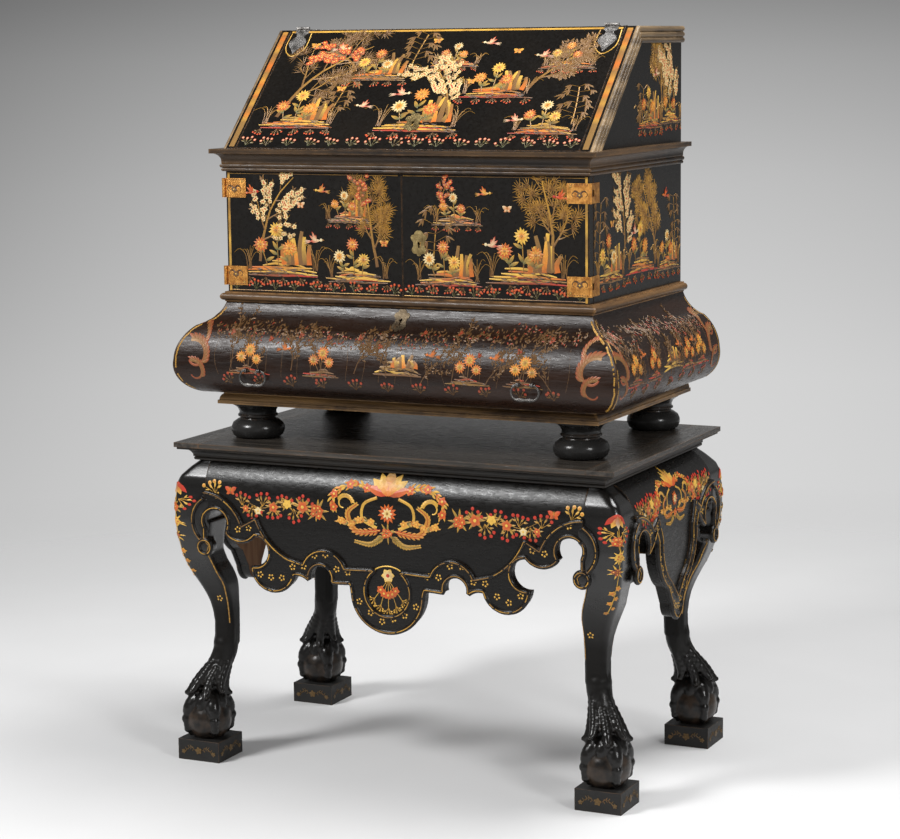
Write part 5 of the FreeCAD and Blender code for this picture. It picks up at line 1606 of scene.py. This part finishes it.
class DESK_OT_stand_pictures(bpy.types.Operator):
    """Paint garlands on the aprons, posies on the knees and sprigs on the plinths"""
    bl_idname = "desk.stand_pictures"
    bl_label = "Stand pictures"

    def execute(self, context):
        self.front()
        self.flank("right", RIGHT)
        self.flank("left", LEFT)
        self.knees()
        self.arrises()
        self.plinths()
        return {"FINISHED"}

    def posy(self, art, place, size, count=5):
        """Red flowers among green leaves."""
        t = art.tint
        art.cluster(place, size, (t.red, t.orange), t.straw, (t.green, t.gold), count)

    def garland(self, art, u, v, reach, hand):
        """Flowers on a curling stem, running outwards."""
        t = art.tint
        gold = (t.gold, t.ochre)
        art.line([(u, v), (u + hand * reach * 0.35, v + 0.016), (u + hand * reach * 0.7, v - 0.004),
                  (u + hand * reach, v + 0.018)], 0.0022, gold, 1, 0.5, taper=0.5)
        for share, size, petal in ((0.1, 0.014, t.red), (0.32, 0.011, t.straw), (0.52, 0.012, t.red),
                                   (0.74, 0.009, t.cream), (0.92, 0.008, t.red)):
            place = (u + hand * reach * share, v + 0.01 * sin(6 * share))
            for turn in (0.9, 2.3, -0.8, -2.2, 0.1, 3.0):
                art.leaf(place, turn, size * 1.7, size * 0.36, (t.green, t.gold), 1, 0.3)
            art.blossom(place, size, (petal, blend(petal, t.straw, 0.35)), t.straw)
        for number in range(7):
            place = (u + hand * reach * (0.08 + 0.15 * number), v)
            art.sprig(place, -1.3 if number % 2 else 1.4, 0.03, (t.red, t.red), gold)

    def trophy(self, art, level, size):
        """The apron's middle ornament: an open flower over curling leaves."""
        t = art.tint
        gold = (t.gold, t.straw)
        leaves = (t.green, t.gold)
        for hand in (-1, 1):

            def run(*shares):
                return [(hand * u * size, level + v * size) for u, v in shares]

            for reach, turn, wide, tints in ((1.00, 0.25, 0.34, (t.red, t.orange)), (0.95, 0.62, 0.36, gold),
                                             (0.9, 1.02, 0.36, gold)):
                art.leaf((0.0, level + 0.05 * size), UP - hand * (UP - turn), 0.62 * reach * size,
                         wide * size * 0.7, tints, 3)
            art.acanthus(run((0.2, -0.86), (0.86, -0.92), (1.12, -0.5), (0.86, -0.24)), 0.15 * size,
                         (t.red, t.gold))
            art.vine(run((0.3, -0.7), (0.74, -0.62), (1.02, -0.74), (1.36, -0.66)), 0.17 * size, leaves,
                     (t.orange, t.straw))
            art.vine(run((0.42, 0.1), (0.96, 0.26), (1.5, -0.02), (1.5, -0.4)), 0.2 * size, gold,
                     (t.red, t.orange))
            art.scroll(run((1.22, -0.26))[0], 0.24 * size, UP + hand * 1.4, -hand, gold)
            art.acanthus(run((0.1, -0.98), (0.46, -1.22), (0.9, -1.18)), 0.13 * size, leaves)
            art.line(run((0.3, -0.04), (0.66, -0.22), (0.7, -0.6), (0.3, -0.8)), 0.075 * size, gold, 1,
                     0.5)
        heart = (0.0, level + 0.02 * size)
        art.leaf(heart, UP, 0.62 * size, 0.34 * size, (t.red, t.straw), 4)
        for turn in (1.05, 2.09):
            art.leaf(heart, turn, 0.46 * size, 0.24 * size, (t.orange, t.straw), 5)
        art.chrysanthemum((0.0, level - 0.42 * size), 0.26 * size, (t.red, t.orange), (t.straw, t.cream))
        self.posy(art, (0.0, level - 0.92 * size), 0.24 * size)

    def front(self):
        low, high = span("apron_front")
        art = Painting(Cast(["apron_front", *LEGS[:2]], Vector((0, low.y, 0)), *FRONT), 121)
        t = art.tint
        gold = (t.gold, t.straw)
        level = high.z - 0.075
        self.trophy(art, level, 0.082)
        for hand in (-1, 1):
            self.posy(art, (hand * 0.162, level - 0.04), 0.026)
            self.garland(art, hand * 0.18, level - 0.04, 0.165, hand)
            art.butterfly((hand * 0.368, level - 0.012), 0.016, (t.orange, t.red))
            art.sprig((hand * 0.405, level - 0.02), UP - hand * 0.4, 0.034, (t.orange, t.straw), gold)
        disc = low.z + 0.084
        art.blossom((0.0, disc + 0.034), 0.015, (t.cream, t.straw), t.red, petals=6)
        stem = (0.0, disc + 0.026)
        for turn in (-2.4, -2.0, -UP, -1.14, -0.74):
            tip = (0.042 * cos(turn), disc + 0.024 + 0.058 * sin(turn))
            art.line([stem, blend(stem, tip, 0.5), tip], 0.0014, gold, 1, 0.5)
            art.sprig(tip, turn, 0.018, (t.straw, t.gold), gold)
            art.blossom(blend(stem, tip, 0.55), 0.0095, (t.red, t.orange), t.straw)
        self.ring(art, disc, 0.0535)
        self.band_sprigs(art, 0.44, low.z, high.z)
        art.finish("apron_front_picture")

    def ring(self, art, level, radius):
        """The gilt rim of the round boss."""
        turns = [tau * number / 64 for number in range(65)]
        path = [(radius * cos(turn), level + radius * sin(turn)) for turn in turns]
        art.stroke(path, [0.0026] * len(path), art.pair("straw", "straw"), 1, 0.5)

    def band_sprigs(self, art, half, low, high):
        """Small gold flowers strewn on the raised band along the lower edge."""
        count = 34
        for number in range(count):
            u = -half + 2 * half * (number + 0.5) / count
            steps = [low + 0.004 + step * 0.005 for step in range(70)]
            edge = next((v for v in steps if v < high and art.cast.at(u, v) is not None), None)
            if edge is None:
                continue
            place = (u, edge + 0.021 + art.some(-0.005, 0.005))
            for petal in range(5):
                angle = tau / 5 * petal + number
                art.dot((place[0] + 0.0052 * cos(angle), place[1] + 0.0052 * sin(angle)), 0.0022,
                        art.pair("straw", "gold"), 1, 0.3, sides=6)

    def flank(self, side, axes):
        name = "apron_" + side
        low, high = span(name)
        x = high.x if side == "right" else low.x
        legs = ["leg_front_" + side, "leg_rear_" + side]
        art = Painting(Cast([name, *legs], Vector((x, 0, 0)), *axes), 131)
        level = high.z - 0.07
        self.trophy(art, level, 0.058)
        for hand in (-1, 1):
            self.garland(art, hand * 0.095, level - 0.024, 0.105, hand)
            self.posy(art, (hand * 0.112, level - 0.04), 0.02, 4)
        self.band_sprigs(art, 0.2, low.z, high.z)
        art.finish(name + "_picture")

    def knees(self):
        """A hanging posy down the front of each knee."""
        for name in LEGS:
            low, high = span(name)
            side, depth = leg_hands(name)
            out = Vector((side, 0.75 * depth, 0)).normalized()
            across = Vector((-out.y, out.x, 0))
            corner = Vector((high.x if side > 0 else low.x, high.y if depth > 0 else low.y, 0))
            art = Painting(Cast([name], corner - out * 0.02, across, Vector((0, 0, 1))), 141)
            t = art.tint
            gold = (t.gold, t.straw)
            top = high.z - 0.085
            for turn, tint in ((-2.3, t.red), (-1.95, t.straw), (-UP, t.cream), (-1.19, t.straw),
                               (-0.84, t.red)):
                art.leaf((0.0, top + 0.008), turn, 0.028, 0.01, (t.red, tint), 2)
            self.posy(art, (0.0, top - 0.044), 0.017)
            art.cluster((0.002, top - 0.076), 0.015, gold, t.red, gold, 5)
            art.cluster((-0.001, top - 0.106), 0.013, (t.red, t.umber), t.straw, gold, 4)
            art.line([(0.0, top), (0.003, top - 0.09), (-0.002, top - 0.195)], 0.0012, gold, 1, 0.5)
            for number in range(6):
                art.dot((0.004 * (-1) ** number, top - 0.14 - 0.011 * number), 0.0052 - 0.0004 * number,
                        (t.orange, t.gold), lobes=5, sides=15)
            for hand in (-1, 1):
                art.sprig((hand * 0.007, top - 0.028), UP - hand * 1.9, 0.024, (t.red, t.red), gold)
            art.finish(name + "_picture")

    def arrises(self):
        """Worn gilt lines down the inner edges of the legs' faces."""
        for name in LEGS:
            low, high = span(name)
            side, depth = leg_hands(name)
            levels = [high.z - 0.195 - row * 0.012 for row in range(18)]
            outside = (RIGHT, Vector((high.x, 0, 0))) if side > 0 else (LEFT, Vector((low.x, 0, 0)))
            faces = [("side", *outside, -depth * side)]
            if depth < 0:
                faces.insert(0, ("front", FRONT, Vector((0, low.y, 0)), -side))
            for label, axes, origin, inner in faces:
                art = Painting(Cast([name], origin, *axes), 161)
                ends = sorted((low.dot(axes[0]), high.dot(axes[0])))
                start = ends[0] if inner < 0 else ends[1]
                art.edge_line(start, inner, levels, 0.004, 0.0019, art.pair("gold", "ochre"), 3)
                art.finish(name + "_arris_" + label)

    def plinths(self):
        """A faint gold spray on each outer face of the plinth blocks."""
        low, high = span("plinth_blocks")
        corners = mesh_of("plinth_blocks").vertices
        side = high.x - min(vertex.co.x for vertex in corners if vertex.co.x > 0)
        art = Painting(None, 151)
        t = art.tint
        faint = (blend(t.ochre, t.black, 0.66), blend(t.gold, t.black, 0.8))
        for x in (low.x + side / 2, high.x - side / 2):
            for y in (low.y + side / 2, high.y - side / 2):
                for axes in (FRONT, RIGHT, LEFT):
                    out = axes[0].cross(axes[1])
                    art.cast = Cast(["plinth_blocks"], Vector((x, y, 0)) + out * side / 2, *axes)
                    self.spray(art, (0.0, high.z / 2), high.z / 10, faint)
        art.finish("plinth_sprigs")

    def spray(self, art, heart, unit, tints):
        """A flower between two leafy stems that bend down to smaller flowers."""
        u, v = heart
        art.blossom(heart, 1.9 * unit, tints, tints[1])
        for hand in (-1, 1):
            stem = flowing([(u + hand * 1.8 * unit, v), (u + hand * 4.4 * unit, v + 1.4 * unit),
                            (u + hand * 7.6 * unit, v - unit)])
            art.line(stem, 0.3 * unit, tints, 1, 0.3, steps=1)
            outward = pi / 2 - hand * pi / 2
            for place in stem[2:-1:2]:
                for lean in (0.9, -0.9):
                    art.leaf(place, outward + lean, 1.5 * unit, 0.5 * unit, tints, 1, 0.3)
            art.blossom((u + hand * 8.2 * unit, v - unit), 1.2 * unit, tints, tints[1])


CAMERA_PLACE = (2.2528, -4.752, 1.519)
CAMERA_YAW = radians(25.372)
CAMERA_PITCH = radians(8.598)
CAMERA_ROLL = radians(-0.618)
CAMERA_LENS = 99.56


class DESK_OT_stage(bpy.types.Operator):
    """Floor, soft lights, backdrop tone and the camera"""
    bl_idname = "desk.stage"
    bl_label = "Stage"

    def execute(self, context):
        self.floor(context)
        self.world(context)
        self.lights()
        self.camera(context)
        context.scene.view_settings.view_transform = "Standard"
        return {"FINISHED"}

    def floor(self, context):
        bpy.ops.object.select_all(action="DESELECT")
        bpy.ops.mesh.primitive_circle_add(vertices=96, radius=context.scene.desk_sizes.floor_radius,
                                          fill_type="NGON", location=(0, 0, 0))
        floor = context.object
        floor.name = "floor"
        material, bench, shader = new_material("floor", Roughness=0.75)
        where = bench.spot()
        specks = bench.scaled(bench.noise(where, 3.0, 2.0), 0.3, 0.7)
        bench.feed(shader["Base Color"], bench.mix(specks, (0.64, 0.64, 0.64), (0.66, 0.66, 0.66)))
        bench.feed(shader["Alpha"], bench.scaled(bench.vector("LENGTH", where), 1.1, 3.4, 1.0, 0.0))
        floor.data.materials.append(material)

    def world(self, context):
        world = bpy.data.worlds.new("studio")
        context.scene.world = world
        world.use_nodes = True
        bench = Bench(world.node_tree)
        seen = bench.add("ShaderNodeTexCoord").outputs["Generated"]
        up = bench.add("ShaderNodeSeparateXYZ", {"Vector": seen}).outputs["Z"]
        stops = ((-0.32, 0.8), (-0.262, 0.7), (-0.211, 0.61), (-0.175, 0.63), (-0.133, 0.6),
                 (-0.055, 0.46), (-0.007, 0.33), (0.02, 0.225), (0.04, 0.225), (0.1, 0.45), (0.28, 0.42),
                 (0.5, 0.12), (1.0, 0.05))
        lowest = stops[0][0]
        ramp = bench.add("ShaderNodeValToRGB", {"Fac": bench.scaled(up, lowest, 1.0)})
        elements = ramp.color_ramp.elements
        while len(elements) < len(stops):
            elements.new(0.5)
        for element, (height, level) in zip(elements, stops):
            element.position = (height - lowest) / (1.0 - lowest)
            element.color = (level, level, level, 1.0)
        right = (cos(CAMERA_YAW), sin(CAMERA_YAW), 0.0)
        side = bench.vector("DOT_PRODUCT", seen, right)
        bowl = bench.math("POWER", bench.math("SUBTRACT", side, 0.06), 2.0)
        fall = bench.math("SUBTRACT", 0.16, bench.times(bowl, 7.5))
        fall = bench.times(bench.math("MAXIMUM", fall, -0.5), bench.scaled(up, -0.2, -0.05, 0.4, 1.0))
        brightness = {0: ramp.outputs["Color"], "Scale": bench.math("ADD", fall, 1.0)}
        shade = bench.add("ShaderNodeVectorMath", brightness, operation="SCALE").outputs["Vector"]
        rays = bench.add("ShaderNodeLightPath")
        direct = bench.math("MAXIMUM", rays.outputs["Is Camera Ray"], rays.outputs["Is Transmission Ray"])
        direct = bench.math("MAXIMUM", direct, rays.outputs["Is Glossy Ray"])
        background = world.node_tree.nodes["Background"]
        bench.feed(background.inputs["Color"], bench.mix(direct, (0.31, 0.31, 0.315), shade))

    def lights(self):
        for name, place, size, power, aim in (
                ("key_light", (-2.4, -3.6, 4.2), 1.3, 270.0, (0.0, 0.0, 0.9)),
                ("fill_light", (4.2, -2.4, 3.0), 1.0, 90.0, (0.0, 0.0, 0.8)),
                ("top_light", (1.3, 0.9, 4.6), 2.0, 170.0, (0.0, 0.0, 0.6))):
            lamp = bpy.data.lights.new(name, "AREA")
            lamp.shape = "SQUARE"
            lamp.size = size
            lamp.energy = power
            holder = new_object(name, lamp)
            holder.location = place
            holder.rotation_euler = (Vector(aim) - Vector(place)).to_track_quat("-Z", "Y").to_euler()

    def camera(self, context):
        camera = bpy.data.cameras.new("camera")
        camera.sensor_width = 36.0
        camera.lens = CAMERA_LENS
        camera.clip_end = 60.0
        holder = new_object("camera", camera)
        turn = Matrix.Rotation(CAMERA_YAW, 4, "Z") @ Matrix.Rotation(pi / 2 - CAMERA_PITCH, 4, "X")
        holder.matrix_world = Matrix.Translation(CAMERA_PLACE) @ turn @ Matrix.Rotation(CAMERA_ROLL, 4, "Z")
        context.scene.camera = holder


class DESK_PT_sidebar(bpy.types.Panel):
    """Buttons that dress the desk"""
    bl_idname = "DESK_PT_sidebar"
    bl_label = "Desk on stand"
    bl_space_type = "VIEW_3D"
    bl_region_type = "UI"
    bl_category = "Desk"

    def draw(self, context):
        for operator in OPERATORS:
            self.layout.operator(operator.bl_idname)
        for settings in (context.scene.desk_colours, context.scene.desk_sizes):
            for name in settings.__annotations__:
                self.layout.prop(settings, name)


OPERATORS = (DESK_OT_boards, DESK_OT_legs, DESK_OT_bun_feet, DESK_OT_ironwork, DESK_OT_gilt_edges,
             DESK_OT_lid_picture, DESK_OT_door_pictures, DESK_OT_side_pictures, DESK_OT_bombe_pictures,
             DESK_OT_stand_pictures, DESK_OT_stage)
CLASSES = (DeskColours, DeskSizes) + OPERATORS + (DESK_PT_sidebar,)


def register():
    for kind in CLASSES:
        bpy.utils.register_class(kind)
    bpy.types.Scene.desk_colours = PointerProperty(type=DeskColours)
    bpy.types.Scene.desk_sizes = PointerProperty(type=DeskSizes)


def unregister():
    del bpy.types.Scene.desk_sizes
    del bpy.types.Scene.desk_colours
    for kind in reversed(CLASSES):
        bpy.utils.unregister_class(kind)


def main():
    register()
    bpy.ops.desk.boards()
    bpy.ops.desk.legs()
    bpy.ops.desk.bun_feet()
    bpy.ops.desk.ironwork()
    bpy.ops.desk.gilt_edges()
    bpy.ops.desk.lid_picture()
    bpy.ops.desk.door_pictures()
    bpy.ops.desk.side_pictures()
    bpy.ops.desk.bombe_pictures()
    bpy.ops.desk.stand_pictures()
    bpy.ops.desk.stage()


if __name__ == "__main__":
    main()
